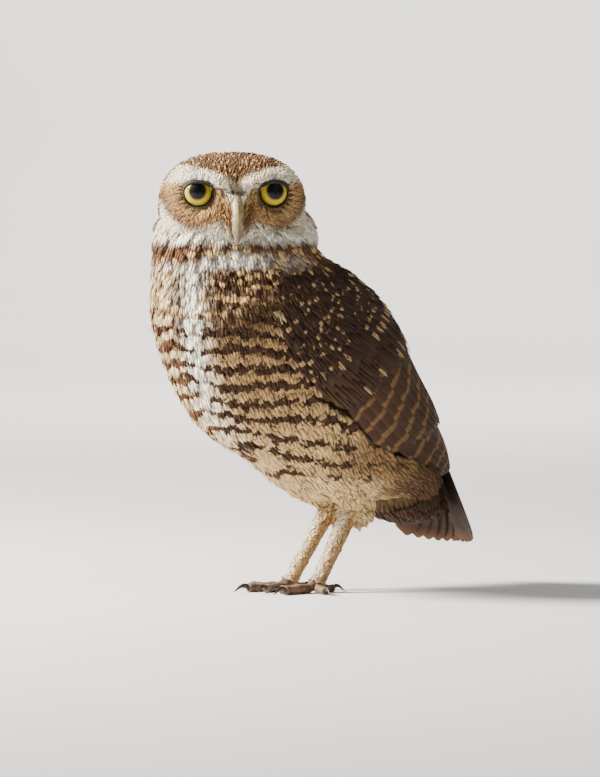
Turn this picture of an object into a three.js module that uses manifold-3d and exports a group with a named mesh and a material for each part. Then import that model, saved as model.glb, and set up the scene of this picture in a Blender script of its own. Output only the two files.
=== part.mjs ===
// A burrowing owl at life size, standing still with its head turned to its left.
// Millimetres. +Z is up and the floor is at Z = 0, the owl's body faces -Y, and its left side is +X.
// The origin is on the floor under the middle of the whole owl.

import * as THREE from "three";
import { mergeVertices } from "three/addons/utils/BufferGeometryUtils.js";
import Module from "manifold-3d";

const wasm = await Module();
wasm.setup();

// Driving sizes.
const GAP = 0.3; // between pieces that touch
const SIDES = [
  { name: "left", sign: 1 },
  { name: "right", sign: -1 },
];

// The trunk with its folded wings, from the wing tips up to the inside of the head.
// y and z place each section's centre, lean is its tilt back from the floor in degrees,
// and side, back and belly are its reach from the centre.
const TRUNK = [
  { y: 59.3, z: 47, lean: 48, side: 25, back: 27, belly: 12 },
  { y: 49.3, z: 57, lean: 46, side: 32, back: 33, belly: 17 },
  { y: 34.3, z: 68, lean: 44, side: 39, back: 41, belly: 33 },
  { y: 15.3, z: 83, lean: 43, side: 45, back: 48, belly: 44.5 },
  { y: -2.7, z: 99, lean: 44, side: 49, back: 55, belly: 47.5 },
  { y: -21.7, z: 114, lean: 48, side: 51, back: 58, belly: 53.5 },
  { y: -38.7, z: 131, lean: 55, side: 50, back: 55, belly: 50.5 },
  { y: -49.7, z: 148, lean: 66, side: 46.5, back: 47.5, belly: 47 },
  { y: -54.7, z: 164, lean: 77, side: 42, back: 41, belly: 42 },
  { y: -56.7, z: 180, lean: 86, side: 39, back: 38, belly: 37 },
  { y: -56.7, z: 195, lean: 90, side: 26, back: 25, belly: 22 },
];
const VENT_AT = 0.11; // where the trunk ends under the wings, as a share of the way up TRUNK
const NECK_FROM = 0.735;

// The folded wing on the trunk's side, by v from the tip to its front: the turn of its lower and
// upper edge, and how deep the trunk is sunk under it.
const WING = {
  front: 0.8,
  depth: 4.6,
  lower: [60, 84, 100, 109, 113, 114, 113, 109, 100],
  upper: [16, 9, 6, 8, 14, 24, 38, 55, 76],
};

const HEAD = { y: -56.6, z: 195, yaw: 55.5, pitch: 5 };
const HEAD_SIZE = { side: 36, face: 29, nape: 32, up: 24.2, down: 29 };
const EYE = { x: 17.9, z: 6.9, sink: 4.5, radius: 7.8, splay: 11, opening: 6.9, hood: 0.66 };
const RUFF = { side: 41, front: 26, nape: 36, up: 23, down: 19, x: 1.6, z: -19 }; // the puffed throat under the face
const LID_THICK = 1.2;

const BILL = { z: 3.8, root: 5.5, length: 25.6, width: 3.8, depth: 4.8 };

const TAIL = { y: 61.6, z: 92.5, slope: 64, length: 79.3, pairs: 6, halfWidth: 9.6, fan: 24.3, sway: -5.2 };
// The soft feathers under the tail: how far along the tail, and how deep below it and how wide they are.
const UNDERTAIL_TOP = 6.5;
const UNDERTAIL = [
  { at: 16, deep: 52, wide: 22 },
  { at: 27, deep: 50, wide: 21 },
  { at: 38, deep: 46, wide: 20 },
  { at: 48, deep: 37, wide: 17 },
  { at: 57, deep: 21, wide: 10 },
];

const STANCE = { x: 10.5, y: -11.2 }; // where each foot stands, mirrored for the right one
const SHANK = { topX: 8.6, topY: 17.3, topZ: 46, bottomY: -10, bottomZ: 5.5, thick: 3.8 };
const TOES = [
  { name: "inner", turn: -14, length: 20, thick: 2.3 },
  { name: "middle", turn: 9, length: 24, thick: 2.4 },
  { name: "outer", turn: 66, length: 18, thick: 2.2 },
  { name: "hind", turn: 176, length: 11, thick: 2.1 },
];
const CLAW_LENGTH = 9.5;

// Materials, one for each finish.
const finish = (color, roughness) =>
  new THREE.MeshStandardMaterial({ color, roughness, metalness: 0 });
const BROWN_COAT = finish(0x6b4a34, 0.9);
const PALE_COAT = finish(0xcdb594, 0.9);
const SPOTTED_COAT = finish(0x8d6a4c, 0.9);
const LEG_COAT = finish(0xd9c9ae, 0.9);
const FLIGHT = finish(0x5a3c2a, 0.8);
const TOE_SKIN = finish(0x8a7661, 0.7);
const CLAW_HORN = finish(0x2c2622, 0.4);
const BILL_HORN = finish(0xa79b72, 0.45);
const EYEBALL = finish(0xd8b92e, 0.1);

const { sin, cos, PI, min, max, abs, exp, sqrt, pow, sign, floor } = Math;
const rad = (degrees) => (degrees * PI) / 180;
const mix = (a, b, t) => a + (b - a) * t;
const clamp = (x, low = 0, high = 1) => min(high, max(low, x));
const smooth = (low, high, x) => {
  const t = clamp((x - low) / (high - low));
  return t * t * (3 - 2 * t);
};
const bump = (x, width) => exp(-((x / width) ** 2));

// Smooth value at t from 0 to 1 through evenly spaced values, by Catmull-Rom.
function through(values, t) {
  const last = values.length - 1;
  const at = clamp(t) * last;
  const i = min(floor(at), last - 1);
  const f = at - i;
  const [a, b, c, d] = [
    values[max(i - 1, 0)],
    values[i],
    values[i + 1],
    values[min(i + 2, last)],
  ];
  const bend = (2 * a - 5 * b + 4 * c - d) * f * f + (3 * b - a - 3 * c + d) * f * f * f;
  return 0.5 * (2 * b + (c - a) * f + bend);
}

// A solid from rows of vertices and triangles. It is turned right way out if it was built inside out.
function solid(points, triangles) {
  const geometry = new THREE.BufferGeometry().setFromPoints(points);
  geometry.setIndex(triangles);
  const merged = mergeVertices(geometry, 1e-3);
  const vertProperties = merged.attributes.position.array;
  const index = Array.from(merged.index.array);
  const make = (order) =>
    new wasm.Manifold(new wasm.Mesh({ numProp: 3, vertProperties, triVerts: new Uint32Array(order) }));
  const made = make(index);
  if (made.volume() > 0) return made;
  for (let i = 0; i < index.length; i += 3) [index[i + 1], index[i + 2]] = [index[i + 2], index[i + 1]];
  return make(index);
}

// A closed skin over rings of equal count, with a fan over each end.
function skin(rings) {
  const count = rings[0].length;
  const points = rings.flat();
  const triangles = [];
  for (let j = 0; j < rings.length - 1; j++)
    for (let i = 0; i < count; i++) {
      const [a, b] = [j * count + i, j * count + ((i + 1) % count)];
      triangles.push(a, b, b + count, a, b + count, a + count);
    }
  for (const [ring, base, flip] of [
    [rings[0], 0, true],
    [rings.at(-1), (rings.length - 1) * count, false],
  ]) {
    const middle = ring.reduce((sum, p) => sum.add(p), new THREE.Vector3()).divideScalar(count);
    points.push(middle);
    for (let i = 0; i < count; i++) {
      const [a, b] = [base + i, base + ((i + 1) % count)];
      triangles.push(...(flip ? [b, a, points.length - 1] : [a, b, points.length - 1]));
    }
  }
  return solid(points, triangles);
}

// A feather as a thin plate whose two faces are split into triangles alike. at(t, u, face) gives its
// points: t runs along it, u from -1 to 1 across it, and face is 1 on its outer side and -1 under it.
function plate(at, along, across = 2) {
  const points = [];
  const triangles = [];
  const width = across + 1;
  const rows = along + 1;
  for (const face of [1, -1])
    for (let j = 0; j < rows; j++)
      for (let i = 0; i < width; i++) points.push(at(j / along, (2 * i) / across - 1, face));
  const under = rows * width;
  for (let j = 0; j < along; j++)
    for (let i = 0; i < across; i++) {
      const a = j * width + i;
      const quad = [a, a + 1, a + 1 + width, a, a + 1 + width, a + width];
      triangles.push(...quad, ...quad.map((k) => k + under).reverse());
    }
  const rim = [];
  for (let i = 0; i < width; i++) rim.push(i);
  for (let j = 1; j < rows; j++) rim.push(j * width + across);
  for (let i = across - 1; i >= 0; i--) rim.push(along * width + i);
  for (let j = along - 1; j > 0; j--) rim.push(j * width);
  rim.forEach((a, k) => {
    const b = rim[(k + 1) % rim.length];
    triangles.push(b, a, a + under, b, a + under, b + under);
  });
  return solid(points, triangles);
}

const union = (solids) => wasm.Manifold.union(solids);
const largest = (made) => made.decompose().sort((a, b) => b.volume() - a.volume())[0];

// A block from low to high corner, turned about the X axis through a point.
function block(size, centre, lean = 0) {
  const box = new THREE.BoxGeometry(...size).rotateX(lean).translate(...centre);
  box.deleteAttribute("normal");
  box.deleteAttribute("uv");
  const merged = mergeVertices(box);
  const position = merged.attributes.position;
  const points = Array.from({ length: position.count }, (_, i) =>
    new THREE.Vector3().fromBufferAttribute(position, i),
  );
  return solid(points, Array.from(merged.index.array));
}

// A round limb along a path: stations are [x, y, z, radius], and the rings stand square to it.
function limb(stations, { rings, count, grow = 0, flat = 1 }) {
  const pick = (t) => stations[0].map((_, k) => through(stations.map((s) => s[k]), t));
  const rows = [];
  for (let j = 0; j <= rings; j++) {
    const t = j / rings;
    const [x, y, z, radius] = pick(t);
    const [before, after] = [pick(t - 0.01), pick(t + 0.01)];
    const along = new THREE.Vector3(...[0, 1, 2].map((k) => after[k] - before[k])).normalize();
    const side = new THREE.Vector3(0, 0, 1).cross(along);
    if (side.length() < 0.1) side.set(1, 0, 0);
    side.normalize();
    const up = along.clone().cross(side);
    const centre = new THREE.Vector3(x, y, z);
    rows.push(
      Array.from({ length: count }, (_, i) => {
        const a = (2 * PI * i) / count;
        return centre
          .clone()
          .addScaledVector(side, (radius + grow) * cos(a))
          .addScaledVector(up, (radius * flat + grow) * sin(a));
      }),
    );
  }
  if (grow) {
    const shift = (row, other) => {
      const away = row[0].clone().sub(other[0]).setLength(grow);
      row.forEach((p) => p.add(away));
    };
    shift(rows[0], rows[1]);
    shift(rows.at(-1), rows.at(-2));
  }
  return skin(rows);
}

// The trunk's outer form. v runs from the wing tips to the head, turn is 0 at the back's midline,
// 90 at the left side and 180 at the belly, and lift is the distance outside the form.
// Under the turned face the throat is hollowed.
function trunkPoint(v, turn, lift = 0) {
  const read = (key) => through(TRUNK.map((s) => s[key]), v);
  const lean = rad(read("lean"));
  const a = rad(turn);
  const reach = cos(a) > 0 ? read("back") : read("belly");
  const out = lift - 12 * bump(((turn + 360) % 360) - 124, 46) * smooth(0.7, 0.9, v);
  const across = (read("side") + out) * sin(a);
  const up = (reach + out) * cos(a);
  return new THREE.Vector3(across, read("y") + up * sin(lean), read("z") + up * cos(lean));
}

// The lowest and highest turn that the folded wing covers at v.
const lowerEdge = (v) => through(WING.lower, v / WING.front);
const upperEdge = (v) => through(WING.upper, v / WING.front);

// How far the trunk is sunk at v and turn, so that the wing lies in it.
function recess(v, turn) {
  const t = abs(turn > 180 ? turn - 360 : turn);
  const inside = smooth(lowerEdge(v) + 5, lowerEdge(v) - 6, t) * smooth(upperEdge(v) - 6, upperEdge(v) + 5, t);
  return WING.depth * inside * smooth(WING.front + 0.02, WING.front - 0.07, v);
}

// The trunk itself, rounded shut at its rear end.
function trunk(grow = 0) {
  const [count, rings] = [28, 19];
  const rows = [];
  for (let j = 0; j <= rings; j++) {
    const v = mix(VENT_AT, 1, j / rings);
    const closing = sqrt(1 - (1 - smooth(VENT_AT, VENT_AT + 0.18, v)) ** 2 * 0.86);
    rows.push(
      Array.from({ length: count }, (_, i) => {
        const turn = (360 * i) / count;
        const middle = trunkPoint(v, turn).lerp(trunkPoint(v, turn + 180), 0.5);
        const outer = trunkPoint(v, turn, grow - recess(v, turn));
        return middle.lerp(outer, closing);
      }),
    );
  }
  if (grow) rows[0].forEach((p) => p.add(new THREE.Vector3(0, grow * 0.7, -grow * 0.7)));
  return skin(rows);
}

// The tail's own frame: along it from its root, and out from its upper face.
const tailSlope = rad(TAIL.slope);
const tailPoint = (x, along, out) =>
  new THREE.Vector3(
    x,
    TAIL.y + along * cos(tailSlope) + out * sin(tailSlope),
    TAIL.z - along * sin(tailSlope) + out * cos(tailSlope),
  );

// The soft feathers under the tail, from the vent to two thirds of the way along it.
function undertail(grow = 0) {
  const rings = 8;
  const rows = [];
  for (let j = 0; j <= rings; j++) {
    const [at, deep, wide] = ["at", "deep", "wide"].map((key) => through(UNDERTAIL.map((s) => s[key]), j / rings));
    const half = (deep - UNDERTAIL_TOP) / 2;
    const end = j === rings ? grow : j === 0 ? -grow : 0;
    rows.push(
      Array.from({ length: 18 }, (_, i) => {
        const a = (2 * PI * i) / 18;
        return tailPoint((wide + grow) * cos(a), at + end, -UNDERTAIL_TOP - half + (half + grow) * sin(a));
      }),
    );
  }
  return skin(rows);
}

// Head frame: origin at the head's middle, face to -Y, left to +X.
const headFrame = new THREE.Matrix4()
  .makeTranslation(0, HEAD.y, HEAD.z)
  .multiply(new THREE.Matrix4().makeRotationZ(rad(HEAD.yaw)))
  .multiply(new THREE.Matrix4().makeRotationX(rad(HEAD.pitch)));
const inHead = (x, y, z) => new THREE.Vector3(x, y, z).applyMatrix4(headFrame);

// How far the face stands out at x, z: brows, hollows round the eyes, bill root and the disc's rim.
function faceRelief(x, z) {
  const side = abs(x);
  const fromEye = sqrt((side - EYE.x) ** 2 + (z - EYE.z) ** 2);
  const browLine = EYE.z + 6.8 - 0.22 * max(0, 11 - side);
  return (
    -2.2 * bump(fromEye, 8) +
    5 * bump(z - browLine, 4.4) * smooth(-2, 9, side) * smooth(33, 24, side) +
    1.1 * bump(fromEye - 17, 3) * smooth(12, 24, side) +
    3 * bump(side, 6.5) * bump(z + 5, 10) +
    2.6 * bump(side - 9, 8) * bump(z + 16, 7)
  );
}

// The head's surface at longitude turn (0 at the face) and latitude rise, in its own frame.
function headPoint(turn, rise, grow = 0) {
  const [a, b] = [rad(turn), rad(rise)];
  const full = (x, power) => sign(x) * pow(abs(x), power);
  const round = full(cos(b), b > 0 ? 0.75 : 0.7);
  const front = cos(a) > 0;
  const depth = front ? HEAD_SIZE.face : HEAD_SIZE.nape;
  const x = HEAD_SIZE.side * round * full(sin(a), front ? 0.86 : 0.95);
  const y = -depth * round * full(cos(a), front ? 0.78 : 0.95);
  const z = (b > 0 ? HEAD_SIZE.up : HEAD_SIZE.down) * full(sin(b), 0.95);
  const facing = smooth(0.1, 0.6, cos(a)) * smooth(84, 62, abs(rise));
  const p = new THREE.Vector3(x, y, z);
  const out = new THREE.Vector3(x / HEAD_SIZE.side, y / depth, z / HEAD_SIZE.up).normalize();
  p.addScaledVector(out, grow);
  p.y -= facing * faceRelief(x, z);
  return p;
}

// The puffed throat and nape that the head sits in, wide at the cheeks and shallow under the bill.
function ruff(grow = 0) {
  const rows = [];
  const rings = 12;
  for (let j = 1; j < rings; j++) {
    const b = -PI / 2 + (PI * j) / rings;
    rows.push(
      Array.from({ length: 30 }, (_, i) => {
        const a = (2 * PI * i) / 30;
        const depth = (cos(a) > 0 ? RUFF.front : RUFF.nape) + grow;
        const z = RUFF.z + ((b > 0 ? RUFF.up : RUFF.down) + grow) * sin(b);
        const reach = pow(cos(b), 0.6);
        return inHead(RUFF.x + (RUFF.side + grow) * reach * sin(a), -depth * reach * cos(a), z);
      }),
    );
  }
  return skin(rows);
}

function headForm(grow = 0) {
  const [count, rings] = [40, 19];
  const rows = [];
  for (let j = 1; j < rings; j++) {
    const rise = -90 + (180 * j) / rings;
    rows.push(
      Array.from({ length: count }, (_, i) => {
        const turn = (360 * i) / count;
        return headPoint(turn - 26 * sin(rad(turn)), rise, grow).applyMatrix4(headFrame);
      }),
    );
  }
  return skin(rows);
}

// A ball, its poles along its own axis, carried into place by a matrix.
function ball(radius, matrix, segments = 18) {
  const rows = [];
  const rings = segments * 0.6;
  for (let j = 1; j < rings; j++) {
    const b = -PI / 2 + (PI * j) / rings;
    rows.push(
      Array.from({ length: segments }, (_, i) => {
        const a = (2 * PI * i) / segments;
        return new THREE.Vector3(radius * cos(b) * sin(a), -radius * sin(b), radius * cos(b) * cos(a)).applyMatrix4(
          matrix,
        );
      }),
    );
  }
  return skin(rows);
}

// Eye frame: origin at the eyeball's middle, gaze to -Y, turned out by its splay.
function eyeFrame(side) {
  const surface = headPoint(side * 38, 9).y;
  return headFrame
    .clone()
    .multiply(new THREE.Matrix4().makeTranslation(side * EYE.x, surface + EYE.sink, EYE.z))
    .multiply(new THREE.Matrix4().makeRotationZ(rad(side * EYE.splay)));
}

// The lids: a rim round the eye's opening, lower at the top so that it hoods the eye.
function lids(side) {
  const frame = eyeFrame(side);
  const [count, around] = [20, 7];
  const rows = Array.from({ length: count }, (_, i) => {
    const a = (2 * PI * i) / count;
    const [w, h] = [EYE.opening + 0.5, sin(a) > 0 ? EYE.opening * EYE.hood : EYE.opening * 0.97];
    const [x, z] = [w * cos(a), h * sin(a)];
    const y = -sqrt((EYE.radius + 0.2) ** 2 - x * x - z * z);
    const out = new THREE.Vector3(x, y, z).normalize();
    const wide = new THREE.Vector3(cos(a), 0, sin(a)).addScaledVector(out, -out.x * cos(a) - out.z * sin(a)).normalize();
    return Array.from({ length: around }, (_, k) => {
      const b = (2 * PI * k) / around;
      return new THREE.Vector3(x, y, z)
        .addScaledVector(wide, LID_THICK * 1.15 * cos(b) + 0.5)
        .addScaledVector(out, LID_THICK * sin(b))
        .applyMatrix4(frame);
    });
  });
  const points = rows.flat();
  const triangles = [];
  for (let j = 0; j < count; j++)
    for (let i = 0; i < around; i++) {
      const next = (j + 1) % count;
      const [a, b, c, d] = [j * around + i, j * around + ((i + 1) % around), next * around + ((i + 1) % around), next * around + i];
      triangles.push(a, b, c, a, c, d);
    }
  return solid(points, triangles);
}

// The bill's middle line is an arc that curves down from between the eyes: its point at t, the
// direction square to it, and how much the bill has tapered there.
function billLine(t) {
  const [from, to] = [rad(12), rad(104)];
  const radius = BILL.length / (to - from);
  const bend = mix(from, to, t);
  const y = headPoint(0, 0).y + BILL.root - radius * (sin(bend) - sin(from));
  const z = BILL.z - radius * (cos(from) - cos(bend));
  return { y, z, up: new THREE.Vector3(0, -sin(bend), cos(bend)), taper: sqrt(1 - pow(t, 1.7) * 0.99) };
}

function upperBill(grow = 0) {
  const rings = 9;
  const count = 12;
  const rows = [];
  for (let j = 0; j <= rings; j++) {
    const t = j / rings;
    const { y, z, up, taper } = billLine(t);
    const deep = BILL.depth * taper * mix(1, 0.75, t);
    rows.push(
      Array.from({ length: count }, (_, i) => {
        const a = (2 * PI * i) / count;
        const lift = sin(a) > 0 ? deep * 0.7 * pow(sin(a), 0.9) + grow : sin(a) * (deep * 0.4 + grow);
        return new THREE.Vector3((BILL.width * taper + grow) * cos(a), y, z)
          .addScaledVector(up, lift)
          .applyMatrix4(headFrame);
      }),
    );
  }
  return skin(rows);
}

// The lower half, shorter, tucked behind the hook.
function lowerBill(grow = 0) {
  const rings = 6;
  const rows = [];
  for (let j = 0; j <= rings; j++) {
    const t = j / rings;
    const { y, z, up } = billLine(mix(0.15, 0.86, t));
    const size = sqrt(1 - t ** 3 * 0.9);
    rows.push(
      Array.from({ length: 10 }, (_, i) => {
        const a = (2 * PI * i) / 10;
        return new THREE.Vector3((3.1 * size + grow) * cos(a), y, z)
          .addScaledVector(up, -3.2 + (1.7 * size + grow) * sin(a))
          .applyMatrix4(headFrame);
      }),
    );
  }
  return skin(rows);
}

const sidePoint = (side, v, turn, lift) => trunkPoint(v, side > 0 ? turn : 360 - turn, lift);

// A feather of the folded wing, a shingle that is sunk in the wing at its root and thins to its tip.
// Its root and tip are [v, turn] on the trunk's form, wide is its half width, and top is the height
// of its root and tip over that form. Its outer edge lies over the feather below it.
function wingFeather(side, { root, tip, wide, top, deep = 3, along = 4 }) {
  return plate((t, u, face) => {
    const v = mix(root[0], tip[0], t);
    const outline = wide * (0.7 + 0.3 * smooth(0, 0.3, t)) * sqrt(1 - pow(t, 5) * 0.88);
    const radius = through(TRUNK.map((s) => s.side), v);
    const turn = mix(root[1], tip[1], pow(t, 1.1)) + (u * outline * 180) / (PI * radius);
    const thick = mix(deep, 1, smooth(0, 0.85, t));
    return sidePoint(side, v, turn, mix(top[0], top[1], t) + 0.5 * u - (face > 0 ? 0 : thick));
  }, along);
}

// One tier of wing feathers, from the lowest to the highest.
const tier = (side, count, shape) =>
  Array.from({ length: count }, (_, i) => wingFeather(side, shape(i / (count - 1))));

// The arm under the feathers, a blade that fills the sunken side down to the trunk.
function arm(side) {
  const rows = [];
  const rings = 10;
  const count = 9;
  for (let j = 0; j <= rings; j++) {
    const v = mix(0.26, WING.front + 0.01, j / rings);
    const [low, high] = [lowerEdge(v) - 2, upperEdge(v) + 2];
    const crown = mix(-2.6, 0.2, smooth(0.52, 0.68, v)) - 4.4 * smooth(WING.front - 0.09, WING.front + 0.01, v) ** 2;
    const point = (i, lift) => sidePoint(side, v, mix(low, high, i / (count - 1)), lift);
    const swell = (i) => sin(PI * clamp(i / (count - 1), 0.03, 0.97)) ** 0.35;
    const outer = Array.from({ length: count }, (_, i) => point(i, mix(-5, crown, swell(i))));
    const inner = Array.from({ length: count }, (_, i) => point(count - 1 - i, -7.5));
    rows.push([...outer, ...inner]);
  }
  return skin(rows);
}

function wing(side) {
  const primaries = tier(side, 6, (s) => ({
    root: [0.42, mix(104, 80, s)],
    tip: [mix(0.06, 0.0, s), mix(76, 38, s)],
    wide: 6.8,
    top: [-4, mix(-2.6, -1.7, s)],
    along: 3,
  }));
  const secondaries = tier(side, 8, (s) => ({
    root: [mix(0.5, 0.56, s), mix(104, 36, s)],
    tip: [mix(0.26, 0.12, s ** 0.8), mix(101, 15, s)],
    wide: 7.8,
    top: [-3.4, -1.5],
    along: 3,
  }));
  const greater = tier(side, 8, (s) => ({
    root: [mix(0.59, 0.61, s), mix(106, 40, s)],
    tip: [mix(0.43, 0.34, s), mix(106, 23, s)],
    wide: 7.6,
    top: [-2, -0.7],
    along: 3,
  }));
  const median = tier(side, 7, (s) => ({
    root: [mix(0.66, 0.68, s), mix(102, 50, s)],
    tip: [mix(0.54, 0.47, s), mix(105, 35, s)],
    wide: 7.8,
    top: [-1.1, 0.2],
    along: 2,
  }));
  return union([arm(side), ...primaries, ...secondaries, ...greater, ...median]);
}

// How much the tail's edges droop at x from its middle, t of the way along it, and how far its
// middle has swung to the owl's right.
const droop = (x, t) => 0.022 * x * x * mix(0.8, 0.45, t);
const sway = (along) => TAIL.sway * (along / TAIL.length) ** 2;

// The tail: overlapping feathers in pairs under a central pair, and the coverts over their roots.
function tail() {
  const feathers = [];
  for (let pair = 0; pair < TAIL.pairs; pair++)
    for (const side of [1, -1]) {
      const spread = pair / (TAIL.pairs - 1);
      const length = TAIL.length - 7.5 * spread ** 2;
      const layer = -0.7 * pair - (side > 0 ? 0 : 0.35);
      feathers.push(
        plate((t, u, face) => {
          const outline = TAIL.halfWidth * (0.62 + 0.38 * smooth(0, 0.4, t)) * sqrt(1 - pow(t, 9) * 0.86);
          const x = side * (1.2 + spread * mix(3, TAIL.fan, t)) + u * outline;
          const along = mix(16, length, t);
          return tailPoint(x + sway(along), along, layer - droop(x, t) - (face > 0 ? 0 : 0.9));
        }, 4),
      );
    }
  const rows = [];
  for (let j = 0; j <= 6; j++) {
    const t = j / 6;
    const [wide, thick] = [mix(15, 9, pow(t, 2)), mix(11, 1.3, pow(t, 0.8))];
    rows.push(
      Array.from({ length: 14 }, (_, i) => {
        const a = (2 * PI * i) / 14;
        return tailPoint(wide * cos(a), mix(2, 44, t), mix(-5, -2.6, t) + thick * sin(a));
      }),
    );
  }
  return union([skin(rows), ...feathers]);
}

// The room that the tail takes up between the wing tips.
function tailRoom() {
  const rows = [];
  for (let j = 0; j <= 6; j++) {
    const t = j / 6;
    const wide = mix(15.5, 37, t);
    const top = Array.from({ length: 7 }, (_, i) => {
      const x = mix(-wide, wide, i / 6);
      const along = mix(0, 90, t);
      return tailPoint(x + sway(along), along, (1 - t) ** 2 * 5 + 0.5 - droop(x, t));
    });
    const bottom = [...top].reverse().map((p) => p.clone().add(tailPoint(0, 0, -8)).sub(tailPoint(0, 0, 0)));
    rows.push([...top, ...bottom]);
  }
  return skin(rows);
}

// Thigh, shank, toes and claws of the left leg, and of the right by the sign.
const thigh = (side, grow = 0) =>
  limb(
    [
      [side * 19, -9.2, 72, 12.5],
      [side * 16, 0.8, 61, 12.5],
      [side * 11.5, 12.8, 51, 8.8],
      [side * 9.2, 17, 44.5, 5.4],
      [side * 8.8, 15.6, 41.3, 4.4],
    ],
    { rings: 8, count: 14, grow },
  );

const shank = (side, grow = 0) => {
  const at = (t, radius) => [
    side * mix(SHANK.topX, STANCE.x, t),
    mix(SHANK.topY, SHANK.bottomY, t),
    mix(SHANK.topZ, SHANK.bottomZ, t),
    radius,
  ];
  const stations = [at(0, SHANK.thick + 1), at(0.34, SHANK.thick + 0.4), at(0.7, SHANK.thick), at(1, SHANK.thick + 0.1)];
  return limb(stations, { rings: 6, count: 12, grow });
};

const toeHeading = (side, toe) => new THREE.Vector3(side * sin(rad(toe.turn)), -cos(rad(toe.turn)), 0);

// The toe swells at its joints and ends in a flat round face for its claw.
function toeForm(side, toe, grow = 0) {
  const heading = toeHeading(side, toe);
  const steps = 6;
  const stations = Array.from({ length: steps + 1 }, (_, i) => {
    const t = i / steps;
    const radius = toe.thick * mix(1.16, 0.94, t) * (1 + 0.1 * cos(2 * PI * 2 * t));
    const height = mix(4.4, toe.thick * 0.88, smooth(0, 0.3, t));
    return [side * STANCE.x + heading.x * toe.length * t, STANCE.y + heading.y * toe.length * t, height, radius];
  });
  return limb(stations, { rings: 6, count: 8, grow });
}

const floorBlock = block([200, 200, 20], [0, 0, -10]);

function foot(side, grow = 0) {
  const ankle = limb(
    [
      [side * STANCE.x, STANCE.y + 1.4, 8.2, 3.3],
      [side * STANCE.x, STANCE.y + 0.6, 6, 3.9],
      [side * STANCE.x, STANCE.y - 0.4, 3.4, 3.8],
    ],
    { rings: 3, count: 12, grow },
  );
  return union([ankle, ...TOES.map((toe) => toeForm(side, toe, grow))]).subtract(floorBlock);
}

// A claw: a horn that arches from the toe's end down to its tip just off the floor.
function claw(side, toe) {
  const heading = toeHeading(side, toe);
  const across = new THREE.Vector3(-heading.y, heading.x, 0);
  const length = CLAW_LENGTH * mix(0.75, 1, toe.length / 24);
  const rings = 4;
  const rows = [];
  for (let j = 0; j <= rings; j++) {
    const t = j / rings;
    const sweep = rad(mix(-8, 60, t));
    const reach = toe.length + GAP + 0.3 + length * 0.82 * t;
    const height = toe.thick * 0.95 + 1.5 * sin(PI * min(1, t * 1.15)) * (1 - t * 0.35) - 1.85 * t * t;
    const radius = mix(toe.thick * 0.76, 0.3, pow(t, 0.9));
    const up = new THREE.Vector3(0, 0, cos(sweep)).addScaledVector(heading, sin(sweep));
    const middle = new THREE.Vector3(side * STANCE.x, STANCE.y, height).addScaledVector(heading, reach);
    rows.push(
      Array.from({ length: 7 }, (_, i) => {
        const a = (2 * PI * i) / 7;
        return middle.clone().addScaledVector(across, radius * 0.8 * cos(a)).addScaledVector(up, radius * sin(a));
      }),
    );
  }
  return skin(rows);
}

// Each named node as a mesh in the group.
const owl = new THREE.Group();
owl.name = "burrowing_owl";

function add(name, made, material) {
  const whole = largest(made);
  const { numProp, numVert, vertProperties, triVerts } = whole.getMesh();
  const positions = new Float32Array(numVert * 3);
  for (let i = 0; i < numVert; i++)
    positions.set(vertProperties.subarray(i * numProp, i * numProp + 3), i * 3);
  const geometry = new THREE.BufferGeometry();
  geometry.setAttribute("position", new THREE.BufferAttribute(positions, 3));
  geometry.setIndex(new THREE.BufferAttribute(triVerts, 1));
  geometry.computeVertexNormals();
  const mesh = new THREE.Mesh(geometry, material);
  mesh.name = name;
  owl.add(mesh);
}

// Head, eyes and bill.
const head = headForm();
const sockets = SIDES.map(({ sign: side }) => ball(EYE.radius + GAP, eyeFrame(side)));
const billRoots = [upperBill(GAP), lowerBill(GAP)];
add(
  "head",
  union([head, ...SIDES.map(({ sign: side }) => lids(side))]).subtract(union([...sockets, ...billRoots])),
  SPOTTED_COAT,
);
for (const { name, sign: side } of SIDES) add(`eye_${name}`, ball(EYE.radius, eyeFrame(side)), EYEBALL);
const nostrils = SIDES.map(({ sign: side }) =>
  ball(0.9, new THREE.Matrix4().makeTranslation(...inHead(side * 3.7, headPoint(0, 0).y - 1.8, BILL.z - 3)), 8),
);
add("bill_upper", upperBill().subtract(union([...nostrils, lowerBill(GAP)])), BILL_HORN);
add("bill_lower", lowerBill(), BILL_HORN);

// Neck and torso, parted by a thin cut square to the trunk.
const headGrown = headForm(GAP);
const torsoForm = trunk().add(undertail());
const torsoGrown = trunk(GAP).add(undertail(GAP));
const cutAt = trunkPoint(NECK_FROM, 0).lerp(trunkPoint(NECK_FROM, 180), 0.5);
const cutLean = rad(90 - through(TRUNK.map((s) => s.lean), NECK_FROM));
const aboveCut = (shift) => {
  const size = 300;
  const away = new THREE.Vector3(0, -sin(cutLean), cos(cutLean)).multiplyScalar(size / 2 + shift);
  return block([size, size, size], cutAt.clone().add(away).toArray(), cutLean);
};
const thighs = SIDES.map(({ sign: side }) => thigh(side));
const thighsGrown = SIDES.map(({ sign: side }) => thigh(side, GAP));
const neckForm = torsoForm.add(ruff()).intersect(aboveCut(GAP / 2));
add("neck", neckForm.subtract(headGrown), SPOTTED_COAT);
add("torso", torsoForm.subtract(union([aboveCut(-GAP / 2), ...thighsGrown, headGrown])), PALE_COAT);

// Wings and tail.
const ruffGrown = ruff(GAP + 0.1);
const wingRoom = union([torsoGrown, tailRoom(), ruffGrown]);
for (const { name, sign: side } of SIDES) add(`wing_${name}`, wing(side).subtract(wingRoom), FLIGHT);
add("tail", tail().subtract(torsoGrown), FLIGHT);

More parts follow.
